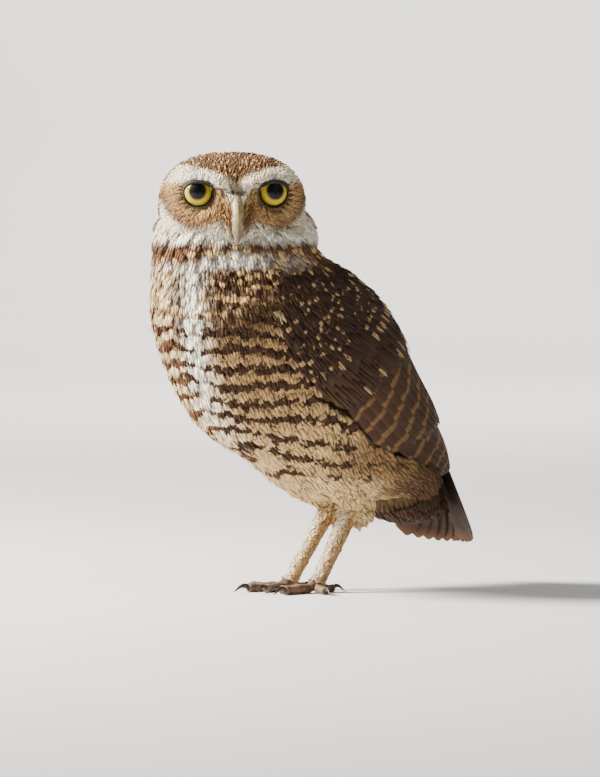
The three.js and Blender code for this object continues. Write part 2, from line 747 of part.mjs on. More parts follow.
// Legs.
SIDES.forEach(({ name, sign: side }, k) => {
  const shankGrown = shank(side, GAP);
  add(`thigh_${name}`, thighs[k].subtract(shankGrown), PALE_COAT);
  add(`shank_${name}`, shank(side).subtract(foot(side, GAP)), LEG_COAT);
  add(`foot_${name}`, foot(side), TOE_SKIN);
  for (const toe of TOES) add(`claw_${toe.name}_${name}`, claw(side, toe), CLAW_HORN);
});

export default owl;
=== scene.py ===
import math

import bpy
import numpy as np
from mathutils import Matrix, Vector


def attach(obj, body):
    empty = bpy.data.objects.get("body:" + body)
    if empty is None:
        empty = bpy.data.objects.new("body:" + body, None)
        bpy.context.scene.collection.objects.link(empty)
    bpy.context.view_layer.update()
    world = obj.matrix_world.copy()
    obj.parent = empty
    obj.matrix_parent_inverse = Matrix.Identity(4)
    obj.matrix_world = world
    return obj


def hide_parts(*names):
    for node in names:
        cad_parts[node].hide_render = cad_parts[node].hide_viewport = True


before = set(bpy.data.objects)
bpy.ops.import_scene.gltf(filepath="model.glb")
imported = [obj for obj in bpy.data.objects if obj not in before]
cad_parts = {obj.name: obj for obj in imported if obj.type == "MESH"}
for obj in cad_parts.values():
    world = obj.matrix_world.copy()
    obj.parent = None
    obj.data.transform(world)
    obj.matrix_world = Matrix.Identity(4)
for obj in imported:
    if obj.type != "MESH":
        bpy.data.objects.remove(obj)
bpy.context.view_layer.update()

# The owl stands on the origin, faces -Y with its left side at +X, and turns its head to its left.
# Pieces are worked out in millimetres and put into their meshes in metres.


# The studio: a camera level with the owl's breast at its left front, a big soft light on the side
# that its breast turns to, a weak one on the other side, and one pale sheet that is floor and backdrop.
def make_piece(name, parts, material):
    """A mesh object from parts, each of points in millimetres, faces as arrays of rows of corner
    numbers, and maps and values by point. The parts are put one after the other."""
    points = np.concatenate([part["points"].reshape(-1, 3) for part in parts])
    starts = np.cumsum([0] + [len(part["points"].reshape(-1, 3)) for part in parts])
    faces = [rows + start for part, start in zip(parts, starts) for rows in part["faces"]]
    corners = np.concatenate([rows.ravel() for rows in faces]).astype(np.int32)
    sizes = np.concatenate([np.full(len(rows), rows.shape[1]) for rows in faces])
    mesh = bpy.data.meshes.new(name)
    mesh.vertices.add(len(points))
    mesh.vertices.foreach_set("co", (points * 0.001).astype(np.float32).ravel())
    mesh.loops.add(len(corners))
    mesh.loops.foreach_set("vertex_index", corners)
    mesh.polygons.add(len(sizes))
    mesh.polygons.foreach_set("loop_start", (np.cumsum(sizes) - sizes).astype(np.int32))
    mesh.update(calc_edges=True)
    mesh.polygons.foreach_set("use_smooth", np.ones(len(sizes), bool))
    for key in parts[0].get("maps", {}):
        flat = np.concatenate([part["maps"][key].reshape(-1, 2) for part in parts])
        mesh.uv_layers.new(name=key).uv.foreach_set("vector", flat[corners].astype(np.float32).ravel())
    for key in parts[0].get("values", {}):
        rows = np.concatenate([part["values"][key].reshape(-1, 3) for part in parts])
        made = mesh.attributes.new(key, "FLOAT_VECTOR", "POINT")
        made.data.foreach_set("vector", rows.astype(np.float32).ravel())
    mesh.materials.append(material)
    piece = bpy.data.objects.new(name, mesh)
    bpy.context.scene.collection.objects.link(piece)
    return piece


def sheet_faces(rows, columns, closed=False):
    """Faces of a grid of points, row by row. A closed grid joins its last column to its first."""
    j, i = np.meshgrid(np.arange(rows - 1), np.arange(columns if closed else columns - 1), indexing="ij")
    near, far = j * columns + i, j * columns + (i + 1) % columns
    return np.stack([near, far, far + columns, near + columns], -1).reshape(-1, 4)


def maths(operation, reflected=False):
    """A method that adds a Math node of an operation to a socket and what it is combined with."""
    def method(self, *others):
        values = (*others, self) if reflected else (self, *others)
        return self.node("ShaderNodeMath", {"operation": operation}, dict(enumerate(values)))

    return method


class Socket:
    """An output of a material's nodes. Sums, products and powers of sockets add Math nodes."""

    def __init__(self, tree, socket=None):
        self.tree, self.socket = tree, socket

    def node(self, kind, settings=None, inputs=None, out=0):
        """A node of a type, with its settings first and then its sockets' values or links."""
        made = self.tree.nodes.new(kind)
        for key, value in (settings or {}).items():
            setattr(made, key, value)
        for key, value in (inputs or {}).items():
            if isinstance(value, Socket):
                self.tree.links.new(value.socket, made.inputs[key])
            else:
                made.inputs[key].default_value = value
        return Socket(self.tree, made.outputs[out] if len(made.outputs) else None)

    __add__ = __radd__ = maths("ADD")
    __mul__ = __rmul__ = maths("MULTIPLY")
    __sub__, __rsub__ = maths("SUBTRACT"), maths("SUBTRACT", reflected=True)
    __truediv__, __pow__ = maths("DIVIDE"), maths("POWER")
    sine, size, most, fraction = maths("SINE"), maths("ABSOLUTE"), maths("MAXIMUM"), maths("FRACT")

    def parts(self):
        """The three numbers that make up a vector."""
        made = self.node("ShaderNodeSeparateXYZ", {}, {0: self})
        return [Socket(self.tree, output) for output in made.socket.node.outputs]

    def uv(self, name):
        return self.node("ShaderNodeUVMap", {"uv_map": name})

    def attribute(self, name, out=0):
        return self.node("ShaderNodeAttribute", {"attribute_name": name}, out=out)

    def place(self):
        """The object's own coordinates, in metres."""
        return self.node("ShaderNodeTexCoord", out=3)

    def noise(self, scale, detail=2.0):
        """Soft noise over the object, from 0 to 1."""
        return self.node("ShaderNodeTexNoise", {}, {"Vector": self.place(), "Scale": scale, "Detail": detail})

    def relief(self, strength, distance):
        """A normal bent by this height."""
        return self.node("ShaderNodeBump", {}, {"Strength": strength, "Distance": distance, "Height": self})

    def wave(self):
        """The sine of a count of cycles."""
        return (self * (2 * math.pi)).sine()

    def between(self, low, high):
        """0 at low, 1 at high, with a smooth step between them."""
        return self.node(
            "ShaderNodeMapRange",
            {"interpolation_type": "SMOOTHSTEP"},
            {"Value": self, "From Min": low, "From Max": high},
        )

    def colours(self, first, second):
        """From the first colour to the second by this share."""
        return self.node("ShaderNodeMix", {"data_type": "RGBA"}, {0: self, 6: first, 7: second}, out=2)

    def surface(self, **values):
        """The Principled shader with these sockets, as the material's surface."""
        named = {key.replace("_", " "): value for key, value in values.items()}
        shader = self.node("ShaderNodeBsdfPrincipled", {}, named)
        self.node("ShaderNodeOutputMaterial", {}, {"Surface": shader})


def new_material(name):
    """A material with no nodes, and the start for its expressions."""
    material = bpy.data.materials.new(name)
    material.use_nodes = True
    material.node_tree.nodes.clear()
    return material, Socket(material.node_tree)


def linear(*colour):
    """A colour given as a screen shows it, 0 to 255, in linear light."""
    shown = np.array(colour, float) / 255
    return np.where(shown <= 0.04045, shown / 12.92, ((shown + 0.055) / 1.055) ** 2.4)


def rgba(*colour):
    """The same with its full opacity, for a socket."""
    return (*linear(*colour), 1.0)


paper, start = new_material("studio_paper")
paper_tone = start.noise(3.0).between(0.3, 0.7).colours(rgba(222, 224, 226), rgba(228, 229, 230))
start.surface(Base_Color=paper_tone, Roughness=0.9)

# The sheet runs level under the owl and curves up 3.4 m behind it, seen from the camera.
CAMERA_TURN = 50
SHEET_HALF, BEND_FROM, BEND_RADIUS = 5000, 3400, 900
WALL = [1500, 2500, 4000]
turned = math.radians(CAMERA_TURN)
away = np.array([-math.sin(turned), math.cos(turned), 0])
across = np.array([math.cos(turned), math.sin(turned), 0])
bend = np.linspace(0.1, math.pi / 2, 14)
run = np.concatenate([
    np.linspace(-SHEET_HALF, BEND_FROM, 12),
    BEND_FROM + BEND_RADIUS * np.sin(bend),
    np.full(len(WALL), BEND_FROM + BEND_RADIUS),
])
rise = np.concatenate([np.zeros(12), BEND_RADIUS - BEND_RADIUS * np.cos(bend), WALL])
sheet = run[:, None, None] * away + np.linspace(-SHEET_HALF, SHEET_HALF, 9)[:, None] * across
sheet[..., 2] = rise[:, None]
backdrop = make_piece("studio_floor", [{"points": sheet, "faces": [sheet_faces(len(run), 9)[:, ::-1]]}], paper)


def aim(thing, centre, turn, height, distance):
    """Puts a camera or lamp at a distance from a centre, in metres, at a turn from -Y and a height
    over the level in degrees, and points it at that centre."""
    a, e = math.radians(turn), math.radians(height)
    direction = Vector((math.sin(a) * math.cos(e), -math.cos(a) * math.cos(e), math.sin(e)))
    thing.location = Vector(centre) + direction * distance
    thing.rotation_euler = direction.to_track_quat("Z", "Y").to_euler()
    bpy.context.scene.collection.objects.link(thing)


# The view is 0.3885 m high at the owl.
CAMERA_DISTANCE, VIEW_HEIGHT, SENSOR = 3.0, 0.3885, 36
camera = bpy.data.objects.new("camera", bpy.data.cameras.new("camera"))
aim(camera, (0, -0.0127, 0.1018), CAMERA_TURN, 2, CAMERA_DISTANCE)
camera.data.sensor_fit, camera.data.sensor_height = "VERTICAL", SENSOR
camera.data.lens = SENSOR * CAMERA_DISTANCE / VIEW_HEIGHT
camera.data.clip_end = 30
bpy.context.scene.camera = camera

for name, turn, height, distance, size, power, tip in (
    ("light_key", -42, 34, 1.6, 0.6, 140, 0),
    ("light_fill", 88, 24, 2.2, 1.6, 2, 0),
    ("light_top", 120, 62, 1.8, 1.0, 5, 0),
    ("light_backdrop", 230, 42, 3.0, 2.0, 160, math.radians(-100)),
):
    lamp = bpy.data.objects.new(name, bpy.data.lights.new(name, "AREA"))
    lamp.data.shape, lamp.data.size, lamp.data.energy = "DISK", size, power
    lamp.data.color = 1, 0.94, 0.86
    aim(lamp, (0, 0, 0.1), turn, height, distance)
    lamp.rotation_euler.rotate_axis("X", tip)
world = bpy.data.worlds.new("studio")
world.use_nodes = True
world.node_tree.nodes["Background"].inputs["Color"].default_value = (0.9, 0.93, 0.97, 1)
world.node_tree.nodes["Background"].inputs["Strength"].default_value = 0.2
bpy.context.scene.world = world


# The skin: one closed body under all the feathers, from the crown to the ankles. It is the owl's
# own form less the depth of its coat, joined from the trunk, head, throat, rump, thighs and shanks.
def smooth(low, high, x):
    """0 at low, 1 at high, with a smooth step between them."""
    t = np.clip((x - low) / (high - low), 0, 1)
    return t * t * (3 - 2 * t)


def bump(x, width):
    """A bell over 0: 1 there, and 1/e at the width."""
    return np.exp(-((x / width) ** 2))


def mix(a, b, t):
    """The share t of the way from a to b."""
    return a + (b - a) * t


def through(values, t):
    """Smooth value at t from 0 to 1 through evenly spaced values, by Catmull-Rom."""
    values = np.asarray(values, float)
    last = len(values) - 1
    at = np.clip(t, 0, 1) * last
    i = np.minimum(at.astype(int), last - 1)
    f = (at - i).reshape(at.shape + (1,) * (values.ndim - 1))
    a, b, c, d = (values[np.clip(i + k, 0, last)] for k in (-1, 0, 1, 2))
    return 0.5 * (2 * b + (c - a) * f + (2 * a - 5 * b + 4 * c - d) * f**2 + (3 * b - a - 3 * c + d) * f**3)


def unit(rows):
    """Vectors divided by their lengths."""
    return rows / np.maximum(np.linalg.norm(rows, axis=-1, keepdims=True), 1e-9)


def xyz(x, y, z):
    """Points or colours from three numbers each, given once or for every point."""
    return np.stack(np.broadcast_arrays(x, y, z), -1)


def about(axis, angle):
    """The matrix of a turn about the x (0), y (1) or z (2) axis."""
    c, s = math.cos(angle), math.sin(angle)
    turn = np.eye(3)
    first, second = (axis + 1) % 3, (axis + 2) % 3
    turn[[first, second], [first, second]] = c
    turn[first, second], turn[second, first] = -s, s
    return turn


# Each row is a section of the trunk from the wing tips to the head: y, z, lean, and its reach to
# the side, the back and the belly. The trunk's own end is at VENT_AT of the way.
TRUNK = np.array([
    [59.3, 47, 48, 25, 27, 12], [49.3, 57, 46, 32, 33, 17], [34.3, 68, 44, 39, 41, 33],
    [15.3, 83, 43, 45, 48, 44.5], [-2.7, 99, 44, 49, 55, 47.5], [-21.7, 114, 48, 51, 58, 53.5],
    [-38.7, 131, 55, 50, 55, 50.5], [-49.7, 148, 66, 46.5, 47.5, 47], [-54.7, 164, 77, 42, 41, 42],
    [-56.7, 180, 86, 39, 38, 37], [-56.7, 195, 90, 26, 25, 22],
])
VENT_AT = 0.11

# The folded wing's edges, as turns from the back by share of the way to its front edge.
WING_LOWER = [60, 84, 100, 109, 113, 114, 113, 109, 100]
WING_UPPER = [16, 9, 6, 8, 14, 24, 38, 55, 76]
WING_FRONT = 0.8

# The tail's root as y and z, and the mass under it: how far along the tail, its depth and half width.
TAIL_ROOT, TAIL_SLOPE, TAIL_THICK = (61.6, 92.5), math.radians(64), 6.5
TAIL_RUN, TAIL_FALL = math.cos(TAIL_SLOPE), math.sin(TAIL_SLOPE)
UNDERTAIL = [[16, 52, 22], [27, 50, 21], [38, 46, 20], [48, 37, 17], [57, 21, 10]]

# The head and the ruff under it, as half widths and reaches from their centres, and the eyes.
HEAD_CENTRE = np.array([0, -56.6, 195.0])
HEAD_TURN = about(2, math.radians(55.5)) @ about(0, math.radians(5))
HEAD = {"wide": 36, "face": 29, "nape": 32, "crown": 24.2, "chin": 29}
RUFF = {"x": 1.6, "z": -19, "wide": 41, "front": 26, "nape": 36, "above": 23, "below": 19}
EYE = {
    "x": 17.9, "z": 6.9, "sink": 4.5, "radius": 7.8, "splay": math.radians(11), "opening": 6.9, "hood": 0.66,
}

# The legs as paths of x, y, z and radius, on the owl's left.
THIGH = np.array([
    [19, -9.2, 72, 12.5], [16, 0.8, 61, 12.5], [11.5, 12.8, 51, 8.8],
    [9.2, 17, 44.5, 5.4], [8.8, 15.6, 41.3, 4.4],
])
HEEL, ANKLE = np.array([8.6, 17.3, 46]), np.array([10.5, -10.0, 5.5])


def trunk_point(v, turn, lift):
    """A point of the trunk's section at v, at a turn from the back (0) by the left side (90) to the
    belly (180): an ellipse in the leaning section plane, hollowed under the turned face."""
    y, z, lean, side, back, belly = np.moveaxis(through(TRUNK, v), -1, 0)
    a, lean = np.radians(turn), np.radians(lean)
    out = lift - 12 * bump(np.mod(turn, 360) - 124, 46) * smooth(0.7, 0.9, v)
    up = (np.where(np.cos(a) > 0, back, belly) + out) * np.cos(a)
    return xyz((side + out) * np.sin(a), y + up * np.sin(lean), z + up * np.cos(lean))


def wing_cover(v, turn):
    """1 where the folded wing lies over the trunk and 0 elsewhere."""
    t = np.abs(np.mod(turn + 180, 360) - 180)
    low, high = through(WING_LOWER, v / WING_FRONT), through(WING_UPPER, v / WING_FRONT)
    behind = smooth(WING_FRONT + 0.02, WING_FRONT - 0.07, v)
    return smooth(low + 5, low - 6, t) * smooth(high - 6, high + 5, t) * behind


def tail_point(x, along, out):
    """The tail's plane: along it from its root, out from its upper face."""
    y, z = TAIL_ROOT
    return xyz(x, y + along * TAIL_RUN + out * TAIL_FALL, z - along * TAIL_FALL + out * TAIL_RUN)


def undertail_point(s, turn, lift):
    """The soft mass under the tail: ellipses square to the tail, from the vent (0) backward (1)."""
    at, deep, wide = np.moveaxis(through(UNDERTAIL, s), -1, 0)
    a, half = np.radians(turn), (deep - TAIL_THICK) / 2
    return tail_point((wide + lift) * np.cos(a), at, -TAIL_THICK - half + (half + lift) * np.sin(a))


def face_relief(x, z):
    """How far the face stands out: brows, eye hollows, bill root, and the discs' rims."""
    side = np.abs(x)
    from_eye = np.hypot(side - EYE["x"], z - EYE["z"])
    brow = EYE["z"] + 6.8 - 0.22 * np.maximum(0, 11 - side)
    return (
        -2.2 * bump(from_eye, 8)
        + 5 * bump(z - brow, 4.4) * smooth(-2, 9, side) * smooth(33, 24, side)
        + 1.1 * bump(from_eye - 17, 3) * smooth(12, 24, side)
        + 3 * bump(side, 6.5) * bump(z + 5, 10)
        + 2.6 * bump(side - 9, 8) * bump(z + 16, 7)
    )


def squared(x, power):
    """A sine or cosine to a power under 1 with its sign kept, which squares off the round it draws."""
    return np.sign(x) * np.abs(x) ** power


def head_local(turn, rise, lift=0):
    """The head as a squared-off ellipsoid in its own frame: turn is 0 at the face, 90 at its left."""
    a, b = np.radians(turn), np.radians(np.clip(rise, -88, 88))
    front = np.cos(a) > 0
    girth = np.cos(b) ** np.where(b > 0, 0.75, 0.7)
    depth = np.where(front, HEAD["face"], HEAD["nape"])
    x = HEAD["wide"] * girth * squared(np.sin(a), np.where(front, 0.86, 0.95))
    y = -depth * girth * squared(np.cos(a), np.where(front, 0.78, 0.95))
    z = np.where(b > 0, HEAD["crown"], HEAD["chin"]) * squared(np.sin(b), 0.95)
    out = unit(xyz(x / HEAD["wide"], y / depth, z / HEAD["crown"]))
    facing = smooth(0.1, 0.6, np.cos(a)) * smooth(84, 62, np.abs(rise))
    return xyz(x, y - facing * face_relief(x, z), z) + out * np.asarray(lift)[..., None]


def out_of_head(points):
    """From the head's frame to the owl's."""
    return points @ HEAD_TURN.T + HEAD_CENTRE


def into_head(points):
    """From the owl's frame to the head's."""
    return (points - HEAD_CENTRE) @ HEAD_TURN


def head_point(turn, rise, lift=0):
    """A point of the head in the owl's frame."""
    return out_of_head(head_local(turn, rise, lift))


def eye_frame(sign):
    """Centre and axes of an eye in the owl's frame: across, gaze and up, from the head's surface."""
    surface = head_local(sign * 38, 9)[1]
    centre = np.array([sign * EYE["x"], surface + EYE["sink"], EYE["z"]])
    return out_of_head(centre), HEAD_TURN @ about(2, sign * EYE["splay"])


def from_gaze(points):
    """How far points lie across and up from the line of sight of the nearer eye, in millimetres."""
    left, right = ((points - centre) @ axes for centre, axes in (eye_frame(1), eye_frame(-1)))
    nearer = (np.hypot(left[..., 0], left[..., 2]) < np.hypot(right[..., 0], right[..., 2]))[..., None]
    return np.where(nearer, left[..., [0, 2]], right[..., [0, 2]])


def ruff_point(turn, rise, lift):
    """The puffed throat and nape: a wide ellipsoid under the face, in the head's frame."""
    a, b = np.radians(turn), np.radians(rise)
    depth = np.where(np.cos(a) > 0, RUFF["front"], RUFF["nape"]) + lift
    reach = np.abs(np.cos(b)) ** 0.6
    x = RUFF["x"] + (RUFF["wide"] + lift) * reach * np.sin(a)
    z = RUFF["z"] + (np.where(b > 0, RUFF["above"], RUFF["below"]) + lift) * np.sin(b)
    return out_of_head(xyz(x, -depth * reach * np.cos(a), z))


def limb_point(path, t, turn, lift):
    """A round limb along a path of x, y, z and radius, its rings square to the path."""
    x = through(path, t)
    along = unit(through(path, t + 0.01)[..., :3] - through(path, t - 0.01)[..., :3])
    side = unit(np.cross(along, [1.0, 0, 0]))
    other = np.cross(along, side)
    a = np.radians(turn)[..., None]
    return x[..., :3] + (side * np.cos(a) + other * np.sin(a)) * (x[..., 3] + lift)[..., None]


def thigh_path(sign):
    """The thigh of the left side (1) or the right (-1)."""
    return THIGH * [sign, 1, 1, 1]


def shank_path(sign):
    """A straight shank from heel to ankle with a radius at four places."""
    line = mix(HEEL, ANKLE, np.array([0, 0.34, 0.7, 1])[:, None]) * [sign, 1, 1]
    return np.concatenate([line, [[4.8], [4.2], [3.8], [3.9]]], 1)


def closed_tube(rings, **maps):
    """A closed part from rings of points, with a face over each end, and its maps by name."""
    count = rings.shape[1]
    ends = np.arange(count)[None]
    faces = [sheet_faces(len(rings), count, True), ends[:, ::-1], (len(rings) - 1) * count + ends]
    return {"points": rings, "faces": faces, "maps": maps}


def grid(first, second):
    """Every pairing of two ranges, as two arrays of rows and columns."""
    return np.meshgrid(first, second, indexing="ij")


# How deep the coat is on each form, in millimetres.
COAT = {
    "trunk": 3.2, "wing": 4.6, "undertail": 3.0, "ruff": 3.4,
    "face": 2.1, "crown": 2.8, "thigh": 1.8, "shank": 1.1,
}

forms = []
v, turn = grid(np.linspace(VENT_AT, 1, 60), np.arange(0, 360, 4.0))
closing = np.sqrt(1 - (1 - smooth(VENT_AT, VENT_AT + 0.18, v)) ** 2 * 0.86)[..., None]
middle = mix(trunk_point(v, turn, 0), trunk_point(v, turn + 180, 0), 0.5)
bare = trunk_point(v, turn, -COAT["trunk"] - COAT["wing"] * wing_cover(v, turn))
forms.append(closed_tube(mix(middle, bare, closing)))
s, turn = grid(np.linspace(0, 1, 24), np.arange(0, 360, 8.0))
forms.append(closed_tube(undertail_point(s, turn, -COAT["undertail"])))
rise, turn = grid(np.linspace(-87, 87, 40), np.arange(0, 360, 5.0))
forms.append(closed_tube(ruff_point(turn, rise, -COAT["ruff"])))

# The head is hollowed round each eye as well, so that the ball shows in its opening.
rise, turn = grid(np.linspace(-88, 88, 90), np.arange(0, 360, 2.5))
aside = np.abs(np.mod(turn + 180, 360) - 180)
off_gaze = np.linalg.norm(from_gaze(head_point(turn, rise)), axis=-1)
hollow = 3.6 * bump(off_gaze, 7.5) * smooth(75, 60, aside)
deep = mix(COAT["face"], COAT["crown"], smooth(60, 110, aside))
forms.append(closed_tube(head_point(turn, rise, -deep - hollow)))
for sign in (1, -1):
    t, turn = grid(np.linspace(0, 1, 24), np.arange(0, 360, 12.0))
    forms.append(closed_tube(limb_point(thigh_path(sign), t, turn, -COAT["thigh"])))
    forms.append(closed_tube(limb_point(shank_path(sign), t, turn, -COAT["shank"])))


def trunk_place(points):
    """Where points lie on the trunk: v of the nearest section plane, the turn from the back in
    degrees, positive on the left, and how far out they are as a share of the section's reach."""
    steps = np.linspace(0.04, 1, 97)
    rows = through(TRUNK, steps)
    lean = np.radians(rows[:, 2])
    off = (points[:, 2, None] - rows[:, 1]) * np.sin(lean) - (points[:, 1, None] - rows[:, 0]) * np.cos(lean)
    v = steps[np.argmin(np.abs(off), 1)]
    y, z, lean, side, back, belly = through(TRUNK, v).T
    lean = np.radians(lean)
    up = (points[:, 1] - y) * np.sin(lean) + (points[:, 2] - z) * np.cos(lean)
    across, upward = points[:, 0] / side, up / np.where(up > 0, back, belly)
    return v, np.degrees(np.arctan2(across, upward)), np.hypot(across, upward)


# The coat's colours, from the lightest.
WHITE, CREAM, BUFF = linear(242, 234, 218), linear(226, 205, 166), linear(206, 173, 122)
TAN, RUFOUS, BROWN = linear(186, 150, 102), linear(128, 82, 46), linear(98, 69, 45)
DARK, BLACKISH = linear(60, 42, 30), linear(42, 28, 20)


def layered(first, *layers):
    """Colours or numbers laid one over another: a first value, then pairs of a value and its share."""
    made = first
    for value, share in zip(layers[::2], layers[1::2]):
        if np.ndim(made) == 2 or np.shape(value) == (3,):
            share = np.asarray(share)[:, None]
        made = made + (value - made) * share
    return made


def dots(p, q, rows=6.6, columns=5.8, size=2.4):
    """1 in round dots of a shaken lattice on a surface, measured along it and across it in mm."""
    row = np.round(p / rows)
    column = np.round(q / columns + 0.5 * np.mod(row, 2))
    shake = np.sin(row * 12.99 + column * 78.23) * 43.7
    off_p = p - rows * (row + 0.28 * np.sin(shake))
    off_q = q - columns * (column - 0.5 * np.mod(row, 2) + 0.28 * np.cos(shake * 1.7))
    return smooth(1.15, 0.85, np.hypot(off_p / (size * 1.2), off_q / size) / (1 + 0.4 * np.sin(shake * 2.3)))


def plumage(points):
    """The owl's markings at points on its body: ground and mark colours, how strong bars and spots
    are, and the cycles of the bars. The face is painted in the head's frame, the rest by trunk_place."""
    n = len(points)
    v, turn, _ = trunk_place(points)

    # The trunk's own millimetres, along it and across it, for its dots and the breaks of its bars.
    around, along, across = np.abs(turn), v * 190, turn * 0.85
    x, y, z = into_head(points).T
    side = np.abs(x)
    wobble = np.sin(points[:, 0] / 6.5 + points[:, 2] / 23), np.sin(points[:, 1] / 8 - points[:, 0] / 15)
    cycles = (points[:, 2] + 0.12 * points[:, 1]) / 8.0 + 0.2 * wobble[0] + 0.16 * wobble[1]

    # Breast and flanks: a white streak down the middle, which is a painted highlight where the light
    # grazes the breast, a brown bib with pale spots at each side of it, and wavy dark bars on buff that
    # break up and thin out to plain buff at the vent. The flanks turn brown towards the rear, and the
    # side turned to the key light is painted paler, with its marks in other tones: painted light.
    front = smooth(84, 100, around)
    middle = mix(180, 163, smooth(0.5, 0.74, v))
    # A painted highlight: the white streak where the light grazes the breast's middle.
    streak = bump(np.mod(turn, 360) - middle, 9) * smooth(0.4, 0.62, v) * smooth(0.86, 0.79, v)
    # Painted light: the owl's right side, turned to the key light, is painted paler.
    painted_lit_side = smooth(-100, -140, turn) * (turn < 0)
    bib = smooth(0.66, 0.73, v + 0.02 * wobble[1])
    barred = smooth(0.13, 0.4, v) * smooth(0.78, 0.72, v)
    spotted = smooth(0.71, 0.77, v)
    gaps = mix(0.5, 0.28, smooth(0.3, 0.55, v))
    broken = 1 - gaps + gaps * np.sin(across / 4.7 + 3 * np.sin(v * 41))
    rear = smooth(0.44, 0.3, v) * smooth(158, 125, around)
    edge = bump(around - 108, 4) * smooth(0.54, 0.6, v) * smooth(0.74, 0.68, v)
    breast = layered(
        np.tile(BUFF, (n, 1)),
        mix(TAN, BROWN, 0.35), barred * smooth(0.3, 0.6, v) * smooth(172, 140, around) * 0.9,
        CREAM, barred * smooth(155, 172, around) * smooth(0.4, 0.55, v) * 0.8,
        mix(BROWN, DARK, 0.35), bib,
        mix(CREAM, BUFF, 0.3), np.maximum(painted_lit_side * 0.85 * bib, 0.5 * painted_lit_side),
        mix(TAN, BROWN, 0.75), rear * 0.95,
        mix(BROWN, DARK, 0.3), 0.9 * smooth(0.26, 0.12, v) * smooth(6, 38, points[:, 1]),
        mix(BUFF, CREAM, 0.5), edge * 0.7,
        WHITE, streak,
    )
    ground = layered(np.tile(DARK, (n, 1)), breast, front)
    marks = layered(
        np.tile(mix(BUFF, TAN, 0.6), (n, 1)),
        mix(BLACKISH, BROWN, 0.3), front * (1 - spotted),
        mix(RUFOUS, DARK, 0.6), front * (1 - spotted) * painted_lit_side,
        mix(BUFF, TAN, 0.7), front * spotted * (1 - painted_lit_side),
        mix(TAN, BROWN, 0.35), front * spotted * painted_lit_side,
    )
    bars = front * barred * broken * mix(0.9, 2.2, smooth(0.3, 0.7, v))
    bars = bars * (1 - 0.95 * streak) * (1 - 0.8 * edge)
    spots = np.maximum(
        (1 - front) * 0.7 * dots(along, across, 7.4, 7.0, 1.6),
        front * spotted * (1 - streak) * dots(along, across, size=1.8),
    )

    # Neck and throat: a white band under the face, a spotted brown necklace and a second white band.
    level = z + 0.0012 * x * x
    neck = smooth(-7, -11, z) * smooth(-34, -29, z + 0.9 * wobble[0])
    neck = neck * smooth(30, 17, y) * smooth(0.66, 0.72, v)
    upper = smooth(-18.2, -16.4, level + 0.5 * wobble[1])
    drop = 4.5 * smooth(-10, -22, x)
    lower = smooth(-21.5, -23.5, level + drop) * smooth(-30.5, -28.5, level + 0.6 * drop)
    lower = lower * smooth(40, 34, side) * (0.75 + 0.25 * wobble[1])
    # The second band fades on the owl's left: partly its own broken pattern, partly painted shade on that
    # side.
    white = neck * np.maximum(upper, lower * mix(0.9, 0.5, smooth(2, 14, x)))
    ground = layered(ground, mix(mix(BROWN, RUFOUS, 0.3), DARK, 0.2), neck, WHITE, white)
    marks = layered(marks, mix(BUFF, TAN, 0.4), neck)
    spots = layered(spots, dots(z + 40, x, 4.6, 4.4, 1.5), neck) * (1 - white)
    bars = bars * (1 - neck)

    # The head: spotted brown crown and nape, white brows, tan discs with a dark rim, chestnut lores
    # beside the bill, and a pale chin.
    head = smooth(-17, -13, z + 0.12 * np.maximum(y, 0)) * smooth(60, 45, np.hypot(x, y))
    from_eye = np.hypot(side - EYE["x"], z - EYE["z"])
    face = smooth(4, -4, y + 0.3 * side - 7)
    brow_line = 7.5 + 0.62 * side - 0.0132 * side * side
    brow = smooth(4.6, 3.0, np.abs(z - brow_line - 0.4)) * smooth(36, 30, side) * face
    cheek = smooth(3, 0, z) * smooth(15.5, 17.5, from_eye) * face
    disc = smooth(18.2, 16.6, from_eye) * smooth(2.0, -1.0, z - brow_line) * face
    rim = bump(from_eye - 17.2, 2.2) * face * smooth(12, 4, z) * smooth(12, 22, side)
    lores = bump(side - 6.0, 3.6) * smooth(-13, -8, z) * smooth(6, 1, z) * face
    chin = smooth(-10.5, -13, z) * smooth(18, 13, side) * face
    parting = bump(side, 2.0) * smooth(15, 11, z) * face
    crown = layered(np.tile(mix(BROWN, DARK, 0.25), (n, 1)), mix(BROWN, TAN, 0.08), smooth(12, -20, y))
    face_ground = layered(
        crown,
        TAN, disc,
        mix(TAN, RUFOUS, 0.35), disc * bump(from_eye - 13, 4) * 0.5,
        mix(CREAM, WHITE, 0.6), cheek,
        mix(BROWN, RUFOUS, 0.5), rim * 0.9,
        mix(RUFOUS, DARK, 0.35), lores * 0.85,
        mix(CREAM, WHITE, 0.5), chin * 0.8,
        mix(WHITE, CREAM, 0.45), brow,
        mix(TAN, BROWN, 0.5), parting * 0.8,
    )
    ground = layered(ground, face_ground, head)
    marks = layered(marks, mix(BUFF, TAN, 0.3), head)
    clear = 1 - np.clip(disc + brow + rim + cheek + lores + chin, 0, 1)
    spots = layered(spots, 0.9 * clear * dots(y + 90, x, 4.0, 3.8, 1.0), head)
    bars = bars * (1 - head)

    # The vent and the thighs are plain buff.
    leg = smooth(62, 52, points[:, 2]) * smooth(22, 13, points[:, 1])
    under = smooth(0.2, 0.14, v) * smooth(135, 160, around)
    unmarked = np.maximum(leg, under)
    ground = layered(ground, mix(CREAM, BUFF, 0.8), unmarked)
    return ground, marks, bars * (1 - unmarked), spots * (1 - unmarked), cycles


